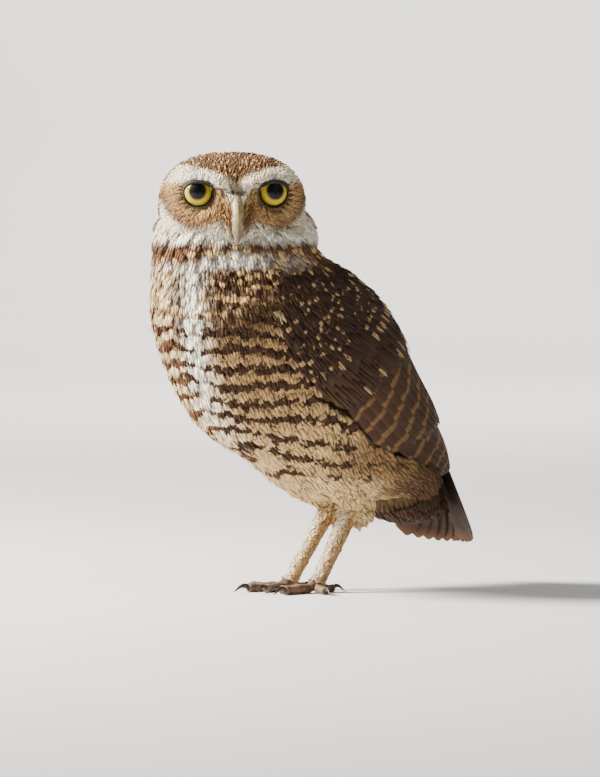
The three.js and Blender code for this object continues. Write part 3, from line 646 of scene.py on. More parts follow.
def coat_finish(name, spot, roughness=0.85):
    """Feathers: a ground colour with bars across them, or an oval spot at a place along the vane and
    with a share of its width and length. Fine barbs slant from the raised shaft."""
    material, start = new_material(name)
    ground, mark = start.attribute("ground"), start.attribute("mark")
    phase, bars, spots = start.attribute("pattern", out=1).parts()
    across, t, _ = start.uv("Vane").parts()
    u = across * 2 - 1
    coarse, fine = start.noise(150.0), start.noise(900.0, 3.0)
    wave = (phase + (coarse - 0.5) * 0.4 + u * u * 0.1).wave() + bars * 0.6
    barred = wave.between(0.75, 1.1) * bars.between(0.02, 0.3)
    at, wide, long = spot
    oval = ((u / wide) ** 2.0 + ((t - at) / long) ** 2.0 + (fine - 0.5) * 1.2).between(1.15, 0.7)
    oval = oval * spots.between(0.1, 0.5)
    shade = coarse * 0.3 + fine * 0.3 + 0.7
    marked = barred.most(oval).colours(ground, mark)
    toned = start.node("ShaderNodeVectorMath", {"operation": "SCALE"}, {0: marked, "Scale": shade})
    barbs = (t * 14 + u.size() * -9 + (fine - 0.5) * 1.4).wave()
    shaft = u.size().between(0.1, 0.03)
    relief = (barbs * 0.35 + shaft * 0.6 + fine).relief(0.25, 0.0004)
    start.surface(Base_Color=toned, Roughness=roughness, Normal=relief, Specular_IOR_Level=0.22)
    return material


coat = coat_finish("coat", (0.93, 0.85, 0.2))

# The forms are joined into one closed surface on a fine lattice, and its steps are smoothed away.
LATTICE = 0.0013
base = make_piece("skin_base", forms, coat)
join = base.modifiers.new("join", "REMESH")
join.mode, join.voxel_size, join.use_smooth_shade = "VOXEL", LATTICE, True
relax = base.modifiers.new("relax", "SMOOTH")
relax.factor, relax.iterations = 0.5, 5
made = bpy.data.meshes.new_from_object(base.evaluated_get(bpy.context.evaluated_depsgraph_get()))
bpy.data.objects.remove(base)
flat = np.empty(len(made.vertices) * 3, np.float32)
made.vertices.foreach_get("co", flat)
skin_points = flat.reshape(-1, 3) * 1000.0
corners = np.empty(len(made.loops), np.int32)
made.loops.foreach_get("vertex_index", corners)
ground, marks, bars, spots, cycles = plumage(skin_points)
# The skin carries the coat's markings at 0.7 of their brightness: painted shade where it shows between the
# feathers.
skin = make_piece("skin", [{
    "points": skin_points,
    "faces": [corners.reshape(-1, 4)],
    "maps": {"Vane": np.full((len(skin_points), 2), 0.5)},
    "values": {"ground": ground * 0.7, "mark": marks, "pattern": xyz(cycles, bars, spots)},
}], coat)
bpy.data.meshes.remove(made)
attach(skin, "root")
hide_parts("head", "neck", "torso", "thigh_left", "thigh_right", "shank_left", "shank_right")


# The small feathers of the body: each is a soft vane with a bent shaft, rooted in the skin and
# lying back over the next. They grow in offset rows, and each carries its share of the markings.
chance = np.random.default_rng(7)


def on_surface(surface, a, b, lift=0):
    """Points of a surface with its two directions and its outward normal, by small differences."""
    step_a, step_b = (0.002 if surface in (trunk_point, undertail_point) else 0.5), 0.5
    here = surface(a, b, lift)
    along_a = (surface(a + step_a, b, lift) - surface(a - step_a, b, lift)) / (2 * step_a)
    along_b = (surface(a, b + step_b, lift) - surface(a, b - step_b, lift)) / (2 * step_b)
    normal = unit(np.cross(along_a, along_b))
    outward = here - surface(a, b, lift - 4)
    return here, along_a, along_b, normal * np.sign((normal * outward).sum(-1, keepdims=True))


def shafts(surface, a, b, heading, length, root, tip, steps, stray=8):
    """Feather shafts that start at a, b on a surface and follow a heading over it, each a few degrees
    astray, with their height over it going from root to tip. Each step is solved in the surface's
    two directions. Gives their points and the surface's normals along them."""
    rows, normals = [], []
    off = np.radians(chance.normal(0, stray, len(a)))[:, None]
    for k in range(steps):
        t = k / (steps - 1)
        here, pa, pb, normal = on_surface(surface, a, b)
        rows.append(here + normal * (root + (tip - root) * t**0.8)[:, None])
        normals.append(normal)
        way = heading(here)
        way = unit(way - normal * (way * normal).sum(-1, keepdims=True))
        way = (way * np.cos(off) + np.cross(normal, way) * np.sin(off)) * (length / (steps - 1))[:, None]
        aa, bb, ab = (pa * pa).sum(-1), (pb * pb).sum(-1), (pa * pb).sum(-1)
        wa, wb, det = (way * pa).sum(-1), (way * pb).sum(-1), np.maximum(aa * bb - ab * ab, 1e-9)
        a, b = a + (wa * bb - wb * ab) / det, b + (wb * aa - wa * ab) / det
    return np.stack(rows, 1), np.stack(normals, 1)


def tones(n, k, spread, limit, dark_to):
    """A tone for each of n feathers, times a rise over its k rings from a darker root to 1: the root's grey
    down and painted shade between the feathers.
    """
    own = chance.normal(1, spread, (n, 1, 1)).clip(1 - limit, 1 + limit)
    return own * mix(0.62, 1, smooth(0, dark_to, np.linspace(0, 1, k)))[:, None]


def some(count, strength, share):
    """A strength for a share of the feathers, picked by chance, and 0 for the rest."""
    return strength * (chance.random((count, 1, 1)) < share)


def tinted(spine, spread=0.1, spotted=1.0):
    """The body's markings along each feather, ring by ring, with the spot of its tip on a share of
    them and a tone of its own."""
    n, k, _ = spine.shape
    ground, marks, bars, spots, cycles = (rows.reshape(n, k, -1) for rows in plumage(spine.reshape(-1, 3)))
    ground = np.minimum(ground * tones(n, k, spread, 0.3, 0.7), 0.88)
    tip = np.broadcast_to(some(n, spots[:, -2, None], spotted), spots.shape)
    return ground, marks, np.concatenate([cycles + chance.normal(0, 0.08, (n, 1, 1)), bars, tip], -1)


def plain(spine, ground, mark=BROWN, bars=0.0, spots=0.0, cycles=0.0):
    """One colouring for a whole tier of feathers, with a tone of its own for each."""
    n, k, _ = spine.shape
    pattern = [np.broadcast_to(value, (n, k, 1)) for value in (cycles, bars, spots)]
    ground = np.broadcast_to(ground, (n, k, 3)) * tones(n, k, 0.09, 0.25, 0.5)
    return ground, np.broadcast_to(mark, (n, k, 3)), np.concatenate(pattern, -1)


def along_shaft(rows, t):
    """Values at t along each shaft from its evenly spaced rings, carried straight on past its tip."""
    last = rows.shape[1] - 1
    i = np.clip((t * last).astype(int), 0, last - 1)
    f = (t * last - i)[..., None]
    pick = np.arange(len(rows)).reshape(-1, *[1] * (t.ndim - 1))
    return rows[pick, i] * (1 - f) + rows[pick, i + 1] * f


def beside(spot, x, y):
    """Points at x along the side and y along the normal from a spot's point, side and normal."""
    return spot[0] + spot[1] * x[..., None] + spot[2] * y[..., None]


def feathers(
    shaft, half, place, paint, cells=3, barbs=5, camber=0.12, thick=0.2, point=2.6, tilt=0.0,
    patch=0.003, reach=0.14, rise=0.35,
):
    """Feathers as a closed thin vane each: a lens section, flat below and arched above, carried along
    the shaft, widening from the root and rounding off at the tip by the power of its point. Its end is
    frayed into barbs, thin three-sided locks that start on the vane and run a share of its length,
    reach at most, past its edge and stand up by as much as rise."""
    spine, normal = shaft
    n, k, _ = spine.shape
    t = np.linspace(0, 1, k)
    side = unit(np.cross(normal, unit(np.gradient(spine, axis=1))))
    half, tilt = (np.broadcast_to(value, (n,))[:, None, None] for value in (half, tilt))
    top = np.linspace(-1, 1, cells + 1)
    u = np.concatenate([top, top[-2:0:-1]])
    under = np.concatenate([np.zeros(cells + 1), np.ones(cells - 1)])
    outline = (0.3 + 0.7 * smooth(0, 0.45, t)) * np.sqrt(np.maximum(1 - t**point, 0.012))
    wide = half * outline[:, None]
    arch = (camber * wide - thick * under) * (1 - u * u) + tilt * wide * u
    points = beside([rows[:, :, None] for rows in (spine, side, normal)], wide * u, arch)
    length = np.broadcast_to(t[:, None], (n, k, len(u)))
    vane = assemble(points, u, length, place, patch, [rows[:, :, None] for rows in paint])
    if not barbs:
        return [vane]
    at = np.linspace(-0.8, 0.8, barbs) + chance.uniform(-0.12, 0.12, (n, barbs))
    end = (1 - np.abs(at) ** 2.4) ** (1 / point) + chance.uniform(0.02, reach, (n, barbs))
    t = end[..., None] + np.array([-0.36, -0.16, 0]) * chance.uniform(0.8, 1.2, (n, barbs, 1))
    spot = [along_shaft(rows, t) for rows in (spine, side, normal)]
    at = at[..., None]
    slim = (half * 1.5 / barbs * np.array([0.9, 0.8, 0.12]))[..., None]
    curl = chance.uniform(0, rise, (n, barbs, 1)) * np.array([0, 0.25, 1])
    height = camber * half * (1 - at * at) * 0.9 + tilt * half * at + 0.04 + curl
    spot[0] = beside(spot, half * at * np.array([0.96, 0.98, 0.9]), height)
    corner = np.array([[-1, 0], [1, 0], [0, 0.35]])
    points = beside([rows[..., None, :] for rows in spot], slim * corner[:, 0], slim * corner[:, 1])
    corners = 0 * corner[:, 0]
    values = [along_shaft(rows, np.minimum(t, 1)).reshape(n * barbs, 3, 1, -1) for rows in paint]
    return [vane, assemble(
        points.reshape(n * barbs, 3, 3, 3),
        (at + 0 * t).reshape(n * barbs, 3, 1) + corners,
        (np.clip(t, 0, 1)[..., None] + corners).reshape(n * barbs, 3, 3),
        np.repeat(place, barbs, 0), patch, values,
    )]


def assemble(points, u, t, place, patch, paint):
    """One part from many like tubes: points by tube, ring and corner, with the vane's own map and the
    map for baking, a small patch at each root's place."""
    n, k, m, _ = points.shape
    ring = np.arange(m)
    shift = (np.arange(n) * k * m)[:, None, None]
    rows = (sheet_faces(k, m, True)[:, ::-1], ring[None], (k - 1) * m + ring[None, ::-1])
    uv = np.stack(np.broadcast_arrays((u + 1) / 2, t), -1)
    values = [np.broadcast_to(value, (n, k, m, 3)) for value in paint]
    return {
        "points": points,
        "faces": [(face[None] + shift).reshape(-1, face.shape[1]) for face in rows],
        "maps": {
            "Vane": np.broadcast_to(uv, (n, k, m, 2)),
            "OFBake": np.clip(place[:, None, None] + (uv - 0.5) * patch, 0, 1),
        },
        "values": dict(zip(("ground", "mark", "pattern"), values)),
    }


def patch_at(a, b):
    """Places on the map for baking, from two shares of a surface's own unwrap."""
    return 0.02 + 0.96 * np.clip(np.stack([a, b], -1), 0, 1)


def kept(arrays, here):
    """The same arrays for some of the feathers only."""
    return [rows[here] for rows in arrays]


def chosen(here, shaft, half, place, paint):
    """What feathers() needs, for some of the feathers only."""
    return kept(shaft, here), half[here], place[here], kept(paint, here)


def inside_others(points, own=""):
    """How deep points lie inside the forms other than their own, in millimetres, 0 outside them: what
    a point's share of a form's reach lacks to 1, times that form's mean reach."""
    v, _, reach = trunk_place(points)
    ending = smooth(VENT_AT + 0.02, VENT_AT + 0.14, v)
    x, y, z = into_head(points).T
    deep = np.where(y < 0, HEAD["face"] + 1, HEAD["nape"])
    high = np.where(z > 0, HEAD["crown"], HEAD["chin"])
    from_head = np.sqrt((x / HEAD["wide"]) ** 2 + (y / deep) ** 2 + (z / high) ** 2)
    deep, high = np.where(y < 0, RUFF["front"], RUFF["nape"]), (RUFF["above"] + RUFF["below"]) / 2
    x, z = x - RUFF["x"], z - RUFF["z"]
    from_ruff = np.sqrt((x / RUFF["wide"]) ** 2 + (y / deep) ** 2 + (z / high) ** 2)
    y, z = points[:, 1] - TAIL_ROOT[0], points[:, 2] - TAIL_ROOT[1]
    out, along = y * TAIL_FALL + z * TAIL_RUN, y * TAIL_RUN - z * TAIL_FALL
    first, last = UNDERTAIL[0][0], UNDERTAIL[-1][0]
    _, deep, wide = through(UNDERTAIL, (along - first) / (last - first)).T
    half = (deep - TAIL_THICK) / 2
    from_tail = np.hypot(points[:, 0] / wide, (out + TAIL_THICK + half) / half)
    depths = {
        "trunk": (ending - reach) * 45 * (v < 0.985),
        "head": (1 - from_head) * 29,
        "ruff": (1 - from_ruff) * 28,
        "undertail": (1 - from_tail) * 18 * (along > first) * (along < last - 1),
    }
    return np.max([0 * x, *(depth for name, depth in depths.items() if name != own)], 0)


def rows_on(first, spacing, counts):
    """Roots in offset rows, shaken a little: where each row lies, and the turns of its feathers."""
    a = np.repeat(first, counts)
    b = np.concatenate([(np.arange(count) + 0.5 * (j % 2)) / count for j, count in enumerate(counts)])
    a = a + chance.uniform(-0.3, 0.3, len(a)) * spacing
    b = b + chance.uniform(-0.25, 0.25, len(b)) / np.repeat(counts, counts)
    return a, np.mod(b, 1) * 360


def uncovered(surface, a, b, own, deep=4):
    """The roots on a surface that don't lie deep inside the other forms."""
    return kept((a, b), inside_others(surface(a, b, 0), own) < deep)


def trunk_heading(here):
    """Down the body's own line on the back, and more and more straight down towards the breast."""
    v, turn, _ = trunk_place(here)
    around = np.abs(turn)
    down = -unit(on_surface(trunk_point, v, turn)[1])
    hang = (0.5 * smooth(70, 120, around) * smooth(0.15, 0.4, v))[:, None]
    aside = np.sign(turn) * smooth(180, 150, around) * smooth(100, 150, around)
    return mix(down, np.array([0, 0, -1.0]), hang) + 0.15 * xyz(aside, 0, 0)


# Rows lie close along the trunk, with a feather every 3.25 mm of its girth, and none grow under the
# wings or inside the other forms.
ROW_STEP, FEATHER_STEP = 0.0155, 3.25
body_rows = np.arange(0.135, 0.98, ROW_STEP)
girth = 2 * math.pi * through(TRUNK[:, 3], body_rows)
v, turn = rows_on(body_rows, ROW_STEP, (girth / FEATHER_STEP).astype(int))
v, turn = kept((v, turn), wing_cover(v, turn) < 0.55)
v, turn = uncovered(trunk_point, v, turn, "trunk")
around = np.abs(np.mod(turn + 180, 360) - 180)
length = mix(12.5, 16, smooth(0.9, 0.4, v)) * chance.uniform(0.85, 1.15, len(v))
tip = chance.normal(0, 0.35, len(v))
shaft = shafts(trunk_point, v, turn, trunk_heading, length, root=-2.7, tip=tip, steps=5)
half = mix(2.7, 3.5, smooth(0.85, 0.4, v)) * chance.uniform(0.85, 1.15, len(v))
everything = shaft, half, patch_at(turn / 360, v), tinted(shaft[0], spotted=0.75)
for name, here in (
    ("feathers_back", around < 80),
    ("feathers_breast", (around >= 80) & (v > 0.6)),
    ("feathers_flanks", (around >= 80) & (v > 0.38) & (v <= 0.6)),
    ("feathers_belly", (around >= 80) & (v <= 0.38)),
):
    piece = make_piece(name, feathers(*chosen(here, *everything), barbs=4), coat)
    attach(piece, "root")


# The soft feathers under the tail, long and loose, buff over the vent and dark brown towards the
# tail's edge, with a few dark bars and chestnut ends.
s, turn = rows_on(np.linspace(-0.02, 0.9, 15), 0.03, np.linspace(40, 20, 15).astype(int))
s, turn = uncovered(undertail_point, s, turn, "undertail")
tail_start = tail_point(0, 0, 0)
tail_way = tail_point(0, 1, 0) - tail_start
BAR, CHESTNUT = mix(BLACKISH, DARK, 0.4), mix(RUFOUS, DARK, 0.5)


def rump_heading(here):
    """Straight along the tail."""
    return np.tile(tail_way, (len(here), 1))


length = mix(14, 22, smooth(0.2, 0.8, s)) * chance.uniform(0.85, 1.1, len(s))
tip = chance.uniform(-0.8, 0.6, len(s))
shaft = shafts(undertail_point, s, turn, rump_heading, length, root=-2.6, tip=tip, steps=6)
run = ((shaft[0] - tail_start) @ tail_way)[..., None]
ground = mix(mix(BUFF, TAN, 0.6), mix(BROWN, DARK, 0.65), smooth(10, 42, run))
ground = mix(ground, CHESTNUT, smooth(70, 76, run))
tint = plain(shaft[0], ground, BAR, bars=smooth(24, 40, run) * 0.3, cycles=run / 9)
half = chance.uniform(3.2, 4.4, len(s))
loose = feathers(shaft, half, patch_at(turn / 360, s), tint, barbs=4)
undertail = make_piece("feathers_undertail", loose, coat)
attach(undertail, "root")


# The throat and nape: a puffed ring of small soft feathers that lies round the head, over the
# breast and the shoulders.
def ruff_heading(here):
    """Down and a little back from the bill."""
    return xyz(into_head(here)[:, 0] * 0.012, 0.2, -1.0) @ HEAD_TURN.T


# Its rows lie 5.4 degrees apart, with a feather every 2.7 mm of a mean radius of 38 mm.
levels = np.arange(-66, 60, 5.4)
girth = 2 * math.pi * 38 * np.cos(np.radians(levels)) ** 0.6
rise, turn = rows_on(levels, 2.4, (girth / 2.7).astype(int))
turn, rise = uncovered(ruff_point, turn, rise, "ruff", 3.5)
n = len(turn)
length, tip = chance.uniform(8, 12, n), chance.normal(0, 0.3, n)
shaft = shafts(ruff_point, turn, rise, ruff_heading, length, root=-2.6, tip=tip, steps=5)
half, place = chance.uniform(1.9, 2.6, n), patch_at(turn / 360, 0.5 + rise / 190)
throat = make_piece("feathers_throat", feathers(shaft, half, place, tinted(shaft[0]), barbs=4), coat)
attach(throat, "root")


# The head: short dense feathers that run back from the bill over the crown, and fan out round
# each eye on the facial discs.
def head_heading(here):
    """Away from the bill's root, and close to an eye away from that eye."""
    q = into_head(here)
    x, y, z = q.T
    off = xyz(x - np.sign(x) * (EYE["x"] + 1), 0, z - EYE["z"])
    near = bump(np.linalg.norm(off, axis=1), 13) * smooth(2, -8, y)
    way = unit(q - [0, -30, 3]) * (1 - near)[:, None] + unit(off) * near[:, None] * 1.5
    way[:, 2] -= 1.2 * bump(np.abs(x) - 7, 4) * smooth(12, 6, z) * smooth(2, -8, y)
    way = way + np.array([0, 0.25, -0.35]) * smooth(5, 30, y)[:, None]
    return way @ HEAD_TURN.T


# The rows lie 3.2 degrees apart, with a feather every 2 mm of a mean radius of 34 mm, drawn together
# towards the face.
levels = np.arange(-58, 79, 3.2)
girth = 2 * math.pi * 34 * np.cos(np.radians(levels)) ** 0.75
rise, turn = rows_on(levels, 1.6, np.maximum((girth / 2.0).astype(int), 8))
turn = turn - 20 * np.sin(np.radians(turn))
q = head_local(turn, rise)
x, y, z = q.T

# None grow in the eyes' openings or under the bill. Those of the chin stay, though they lie over
# the ruff.
off = from_gaze(out_of_head(q)).T
opening = EYE["opening"] + 0.7, EYE["opening"] * np.where(off[1] > 0, EYE["hood"], 1) + 0.6
lidded = (np.hypot(off[0] / opening[0], off[1] / opening[1]) < 1) & (y < -8)
billed = (np.abs(x) < 3.0) & (z < 3) & (z > -15) & (y < -20)
chin = (y < -12) & (np.abs(x) < 22)
keep = ((inside_others(out_of_head(q), "head") < 3) | chin) & ~lidded & ~billed
turn, rise, q, near = kept((turn, rise, q, bump(np.linalg.norm(off, axis=0), 9)), keep)
n, facing = len(turn), smooth(-4, -16, q[:, 1])
near, low = near * facing, smooth(-9, -15, q[:, 2]) * facing
nape = smooth(2, -6, q[:, 2]) * (1 - facing)
length = mix(mix(8.0, 5.2, facing), 9.0, low) * (1 + 0.5 * nape) * chance.uniform(0.85, 1.2, n)
root, tip = mix(-2.2, -1.4, facing) - near, chance.uniform(-0.1, 0.35, n) + 1.2 * low + 0.8 * nape
shaft = shafts(head_point, turn, rise, head_heading, length, root, tip, steps=5, stray=6)
half, place = mix(1.6, 0.85, facing), patch_at(np.mod(turn / 360, 1), 0.5 + rise / 185)

# On the flat top of the crown, where the rows close in, the feathers lie straight back. Their height
# is that of the head's own form at their x and y.
x, y = (rows.ravel() for rows in grid(np.arange(-10.5, 11, 2.1), np.arange(-12.5, 10, 1.9)))
x, y = x + chance.uniform(-0.5, 0.5, len(x)), y + chance.uniform(-0.5, 0.5, len(x))
x, y = kept((x, y), np.hypot(x, y + 1.5) < 10.5)
n, steps = len(x), np.linspace(0, 1, 5)
spine_x = x[:, None] + (0.12 * x + chance.normal(0, 0.6, n))[:, None] * steps
spine_y = y[:, None] + 8.0 * steps * chance.uniform(0.85, 1.15, (n, 1))
girth = np.hypot(spine_x / HEAD["wide"], spine_y / np.where(spine_y < 0, HEAD["face"], HEAD["nape"]))
height = HEAD["crown"] * (1 - girth**2.667) ** 0.475 + mix(-2.0, chance.uniform(0, 0.4, (n, 1)), steps**0.8)
tops = out_of_head(xyz(spine_x, spine_y, height)), np.tile(HEAD_TURN[:, 2], (n, 5, 1))
shaft = [np.concatenate(pair) for pair in zip(shaft, tops)]
half = np.concatenate([half, np.full(n, 1.6)])
place = np.concatenate([place, patch_at(0.5 + x / 360, 0.97 + y / 1000)])
front = np.concatenate([q[:, 1], np.zeros(n)]) < -6
everything = shaft, half * chance.uniform(0.85, 1.15, len(half)), place, tinted(shaft[0], spread=0.12)
for name, here in (("feathers_face", front), ("feathers_crown", ~front)):
    short = feathers(*chosen(here, *everything), cells=2, barbs=3, thick=0.15, rise=0.14)
    piece = make_piece(name, short, coat)
    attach(piece, "root")


# The bristles: stiff hair-like feathers that stand at each side of the bill's root and lie forward
# over its sides, each of the face's colour at its root.
def bristle_heading(here):
    """Down and forward, and in towards the bill."""
    return xyz(-0.16 * into_head(here)[:, 0], -0.5, -1.0) @ HEAD_TURN.T


BRISTLES, FARTHEST = 260, 11
sign = np.where(np.arange(BRISTLES) % 2, 1, -1)
rise, turn = chance.uniform(-24, 19, BRISTLES), sign * chance.uniform(0, FARTHEST, BRISTLES)
length, tip = chance.uniform(5.5, 8.5, BRISTLES), mix(4.4, 1.5, np.abs(turn) / FARTHEST)
shaft = shafts(head_point, turn, rise, bristle_heading, length, root=-1.2, tip=tip, steps=6, stray=7)
half, place = chance.uniform(0.4, 0.6, BRISTLES), patch_at(np.mod(turn / 360, 1), 0.5 + rise / 185)
tint = tinted(shaft[0][:, :1] + 0 * shaft[0], spread=0.15)
stiff = feathers(shaft, half, place, tint, cells=2, barbs=2, thick=0.15, rise=0.3)
bristles = make_piece("feathers_bristles", stiff, coat)
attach(bristles, "root")


# The legs: soft buff feathers over the thighs, and short close ones down the shanks to the toes,
# painted pale in front, where the lamp falls on them: painted light. They hang straight down the limb,
# and the last ones stand off over the ankle.
parts = []
run = np.linspace(0, 1, 5)[:, None]
for sign in (1, -1):
    for thigh, path, rows, per_row, long, half, deep in (
        (True, thigh_path(sign), np.linspace(0.1, 1, 16), 24, 9.5, 2.2, 3.5),
        (False, shank_path(sign), np.linspace(0.0, 0.97, 40), 19, 4.8, 0.75, 3.0),
    ):
        surface = lambda t, turn, lift: limb_point(path, t, turn, lift)
        t, turn = rows_on(rows, 0.02, np.full(len(rows), per_row))
        t, turn = uncovered(surface, t, turn, "", deep)
        n, down = len(t), unit(path[-1, :3] - path[0, :3])
        at = surface(t, turn, 0)
        out = unit(at - through(path, t)[:, :3])
        stray = np.cross(out, down) * chance.normal(0, 0.14, (n, 1))
        tangent = unit(down - out * (out @ down)[:, None] + stray)
        length = long * (1 if thigh else 1 - 0.45 * smooth(0.75, 1, t)) * chance.uniform(0.8, 1.2, n)
        close = 0 if thigh else 0.5 - 0.9 * smooth(0.82, 1, t)[:, None, None]
        height = mix(-1.2, chance.uniform(0.1, 0.7, (n, 1, 1)) - close, run**0.8)
        spine = at[:, None] + tangent[:, None] * run * length[:, None, None] + out[:, None] * height
        shaft = spine, np.broadcast_to(out[:, None], spine.shape)
        corner = 0.5 if sign > 0 else 0, 0.5 if thigh else 0
        place = patch_at(0.48 * turn / 360 + corner[0], 0.48 * np.clip(t, 0, 1) + corner[1])
        # Painted light: the shanks' feathers are paler on the side that faces the lamp.
        front = smooth(-0.2, -0.85, out[:, 1])[:, None, None]
        ground = mix(CREAM, BUFF, 0.9) if thigh else mix(mix(BUFF, TAN, 0.85), mix(WHITE, CREAM, 0.6), front)
        halves = half * chance.uniform(0.85, 1.15, n)
        parts += feathers(shaft, halves, place, plain(spine, ground), cells=2, barbs=2, thick=0.15, rise=0.2)
legs = make_piece("feathers_legs", parts, coat)
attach(legs, "root")


# The folded wings: tiers of overlapping feathers from the long primaries up to the small coverts at
# the shoulder, dark brown with pale spots and edge marks. Each side mirrors the other.
wing_coat = coat_finish("wing_coat", (0.87, 0.28, 0.07), 0.75)


def wing_shafts(sign, root, tip, top, steps):
    """Shafts that run from root to tip, each a pair of v and turn on the trunk's form, with top the
    height of root and tip over it."""
    t = np.linspace(0, 1, steps)
    v, lift = mix(root[:, :1], tip[:, :1], t), mix(top[:, :1], top[:, 1:], t**0.8)
    turn = mix(root[:, 1:], tip[:, 1:], t**1.1)
    turn = turn if sign > 0 else 360 - turn
    here, _, _, normal = on_surface(trunk_point, v, turn, lift)
    return here, normal


def fan(count, root_from, root_to, tip_from, tip_to, jitter):
    """Roots and tips of one tier, evenly from its lowest feather to its highest."""
    s = np.linspace(0, 1, count)[:, None]
    shake = chance.uniform(-1, 1, (count, 2)) * [0.006, 1.2] * jitter
    ends = (root_from, root_to), (tip_from, tip_to)
    return [mix(np.array(first, float), last, s) + shake for first, last in ends]


def tier(
    sign, ends, half, top, ground, mark, bars=0.0, spots=0.0, jitter=0.0, steps=12, period=10.0, count=13,
    **shape,
):
    """One tier of a wing: its feathers side by side, each marked in cycles along its own length."""
    root, tip = fan(count, *ends, jitter)
    shaft = wing_shafts(sign, root, tip, np.broadcast_to(top, (count, 2)), steps)
    length = np.linalg.norm(np.diff(shaft[0], axis=1), axis=-1).sum(1)
    along = np.linspace(0, 1, steps) * length[:, None] + chance.uniform(-1, 1, (count, 1))
    spots = some(count, spots, 0.85)
    half = half * chance.uniform(0.95, 1.05, count)
    around = root[:, 1] / 360
    place = patch_at(around if sign > 0 else 1 - around, root[:, 0])
    tint = plain(shaft[0], ground, mark, bars, spots, along[..., None] / period)
    return feathers(shaft, half, place, tint, tilt=-0.1 * sign, **shape)


FLIGHT, PALE, SPOT = mix(DARK, BROWN, 0.15), mix(BROWN, TAN, 0.12), mix(mix(BUFF, TAN, 0.6), BROWN, 0.3)
LONG = {
    "bars": 0.35, "steps": 16, "period": 11,
    "cells": 6, "barbs": 0, "point": 5, "thick": 0.45, "patch": 0.006,
}
COVERT = {"cells": 4, "barbs": 7, "thick": 0.3}
for side_name, sign in (("left", 1), ("right", -1)):
    # Primaries, secondaries, and the greater and middle coverts over them. The ends are v and turn
    # of the lowest and the highest root, and of their tips.
    ends = (0.42, 104), (0.42, 80), (0.06, 76), (0.0, 38)
    parts = tier(sign, ends, 6.4, [-3.8, -1.6], FLIGHT, PALE, count=9, **LONG)
    ends = (0.5, 104), (0.56, 36), (0.26, 101), (0.12, 15)
    parts += tier(sign, ends, 7.4, [-3.2, -1.1], FLIGHT, PALE, **LONG)
    ends, spots = ((0.59, 106), (0.61, 40), (0.43, 106), (0.34, 23)), some(13, 0.8, 0.75)
    parts += tier(
        sign, ends, 6.0, [-1.8, -0.3], FLIGHT, SPOT, spots=spots, jitter=0.6, point=3.4, reach=0.05,
        **COVERT,
    )
    ends, spots = ((0.655, 104), (0.67, 46), (0.52, 106), (0.44, 30)), some(14, 0.8, 0.8)
    parts += tier(
        sign, ends, 5.2, [-1.2, 0.3], DARK, SPOT, spots=spots, jitter=0.9, steps=10, count=14, point=3.0,
        reach=0.06, **COVERT,
    )

    # The small coverts, in twelve offset rows up to the shoulder.
    for j, v0 in enumerate(np.linspace(0.62, 0.81, 12)):
        low, high = (through(edge, v0 / WING_FRONT) for edge in (WING_LOWER, WING_UPPER))
        count, shift = int((low - high) / 4.2), 2.3 * (j % 2)
        low, high = low - shift, high - shift
        ends = (v0, low - 1), (v0 + 0.01, high + 2), (v0 - 0.085, low), (v0 - 0.1, high - 4)
        half, spots = chance.uniform(3.1, 4.1, count), some(count, 0.9, 0.78)
        parts += tier(
            sign, ends, half, [-1.6, 0.8 - 0.05 * j], DARK, SPOT, spots=spots, jitter=1.6, steps=6,
            count=count, barbs=4, reach=0.12, rise=0.5,
        )
    piece = make_piece("feathers_wing_" + side_name, parts, wing_coat)
    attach(piece, "root")
    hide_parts("wing_" + side_name)


# The tail: twelve feathers in pairs under a central pair, a little fanned and swung to the owl's
# right, dark brown with darker bars and chestnut tips, drooping at the sides.
TAIL = {"length": 79.3, "half": 9.6, "fan": 24.3, "sway": -5.2, "pairs": 6}
parts = []
t = np.linspace(0, 1, 20)
curve = mix(0.8, 0.45, t)
tipped = mix(mix(DARK, BLACKISH, 0.35), CHESTNUT, smooth(0.93, 0.97, t)[:, None])
for pair in range(TAIL["pairs"]):
    for sign in (1, -1):
        spread = pair / (TAIL["pairs"] - 1)
        long = TAIL["length"] - 7.5 * spread**2
        x, run = sign * (1.2 + spread * mix(3, TAIL["fan"], t)), mix(8, long, t)
        under = -0.7 * pair - (0 if sign > 0 else 0.35) - 0.022 * x * x * curve
        spine = tail_point(x + TAIL["sway"] * (run / TAIL["length"]) ** 2, run, under)[None]
        normal = unit(tail_point(0.04 * x * curve, 0, 1) - tail_start)[None]
        bars, cycles = smooth(0.93, 0.86, t)[:, None] * 0.55, (t * long / 13)[:, None]
        tint = plain(spine, tipped, BAR, bars=bars, cycles=cycles)
        place = patch_at(np.array([0.5 + sign * (0.02 + 0.07 * pair)]), np.array([0.05]))
        shape = {"cells": 8, "barbs": 0, "camber": 0.06, "thick": 0.5, "point": 8, "patch": 0.02}
        parts += feathers((spine, normal), TAIL["half"], place, tint, **shape)
tail = make_piece("feathers_tail", parts, wing_coat)
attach(tail, "root")
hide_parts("tail")


# The eyes: a glossy ball each, with a wide black pupil in a yellow iris with a dark edge, set in a
# dark bare lid that hoods its upper edge. The iris is drawn in shares of the ball's radius.
eyeball, start = new_material("eye")
gaze = start.uv("Gaze")
across, upward, _ = gaze.parts()
gx, gz = across * 2 - 1, upward * 2 - 1
from_axis = (gx * gx + gz * gz) ** 0.5
from_pupil = (gx * gx + (gz - 0.12) ** 2.0) ** 0.5
fine_rays = {"Vector": gaze, "Scale": 45.0, "Detail": 4.0}
rays = start.node("ShaderNodeTexNoise", {"noise_dimensions": "2D"}, fine_rays)
yellow = rays.between(0.3, 0.7).colours(rgba(160, 132, 20), rgba(212, 190, 50))
inner = from_pupil.between(0.56, 0.66).colours(rgba(128, 96, 14), yellow)
outer = from_axis.between(0.87, 0.81).colours(rgba(22, 16, 11), inner)
iris = from_pupil.between(0.51, 0.53).colours(rgba(2, 2, 2), outer)
start.surface(Base_Color=iris, Roughness=0.5, Specular_IOR_Level=0.1, Coat_Weight=0.28, Coat_Roughness=0.015)

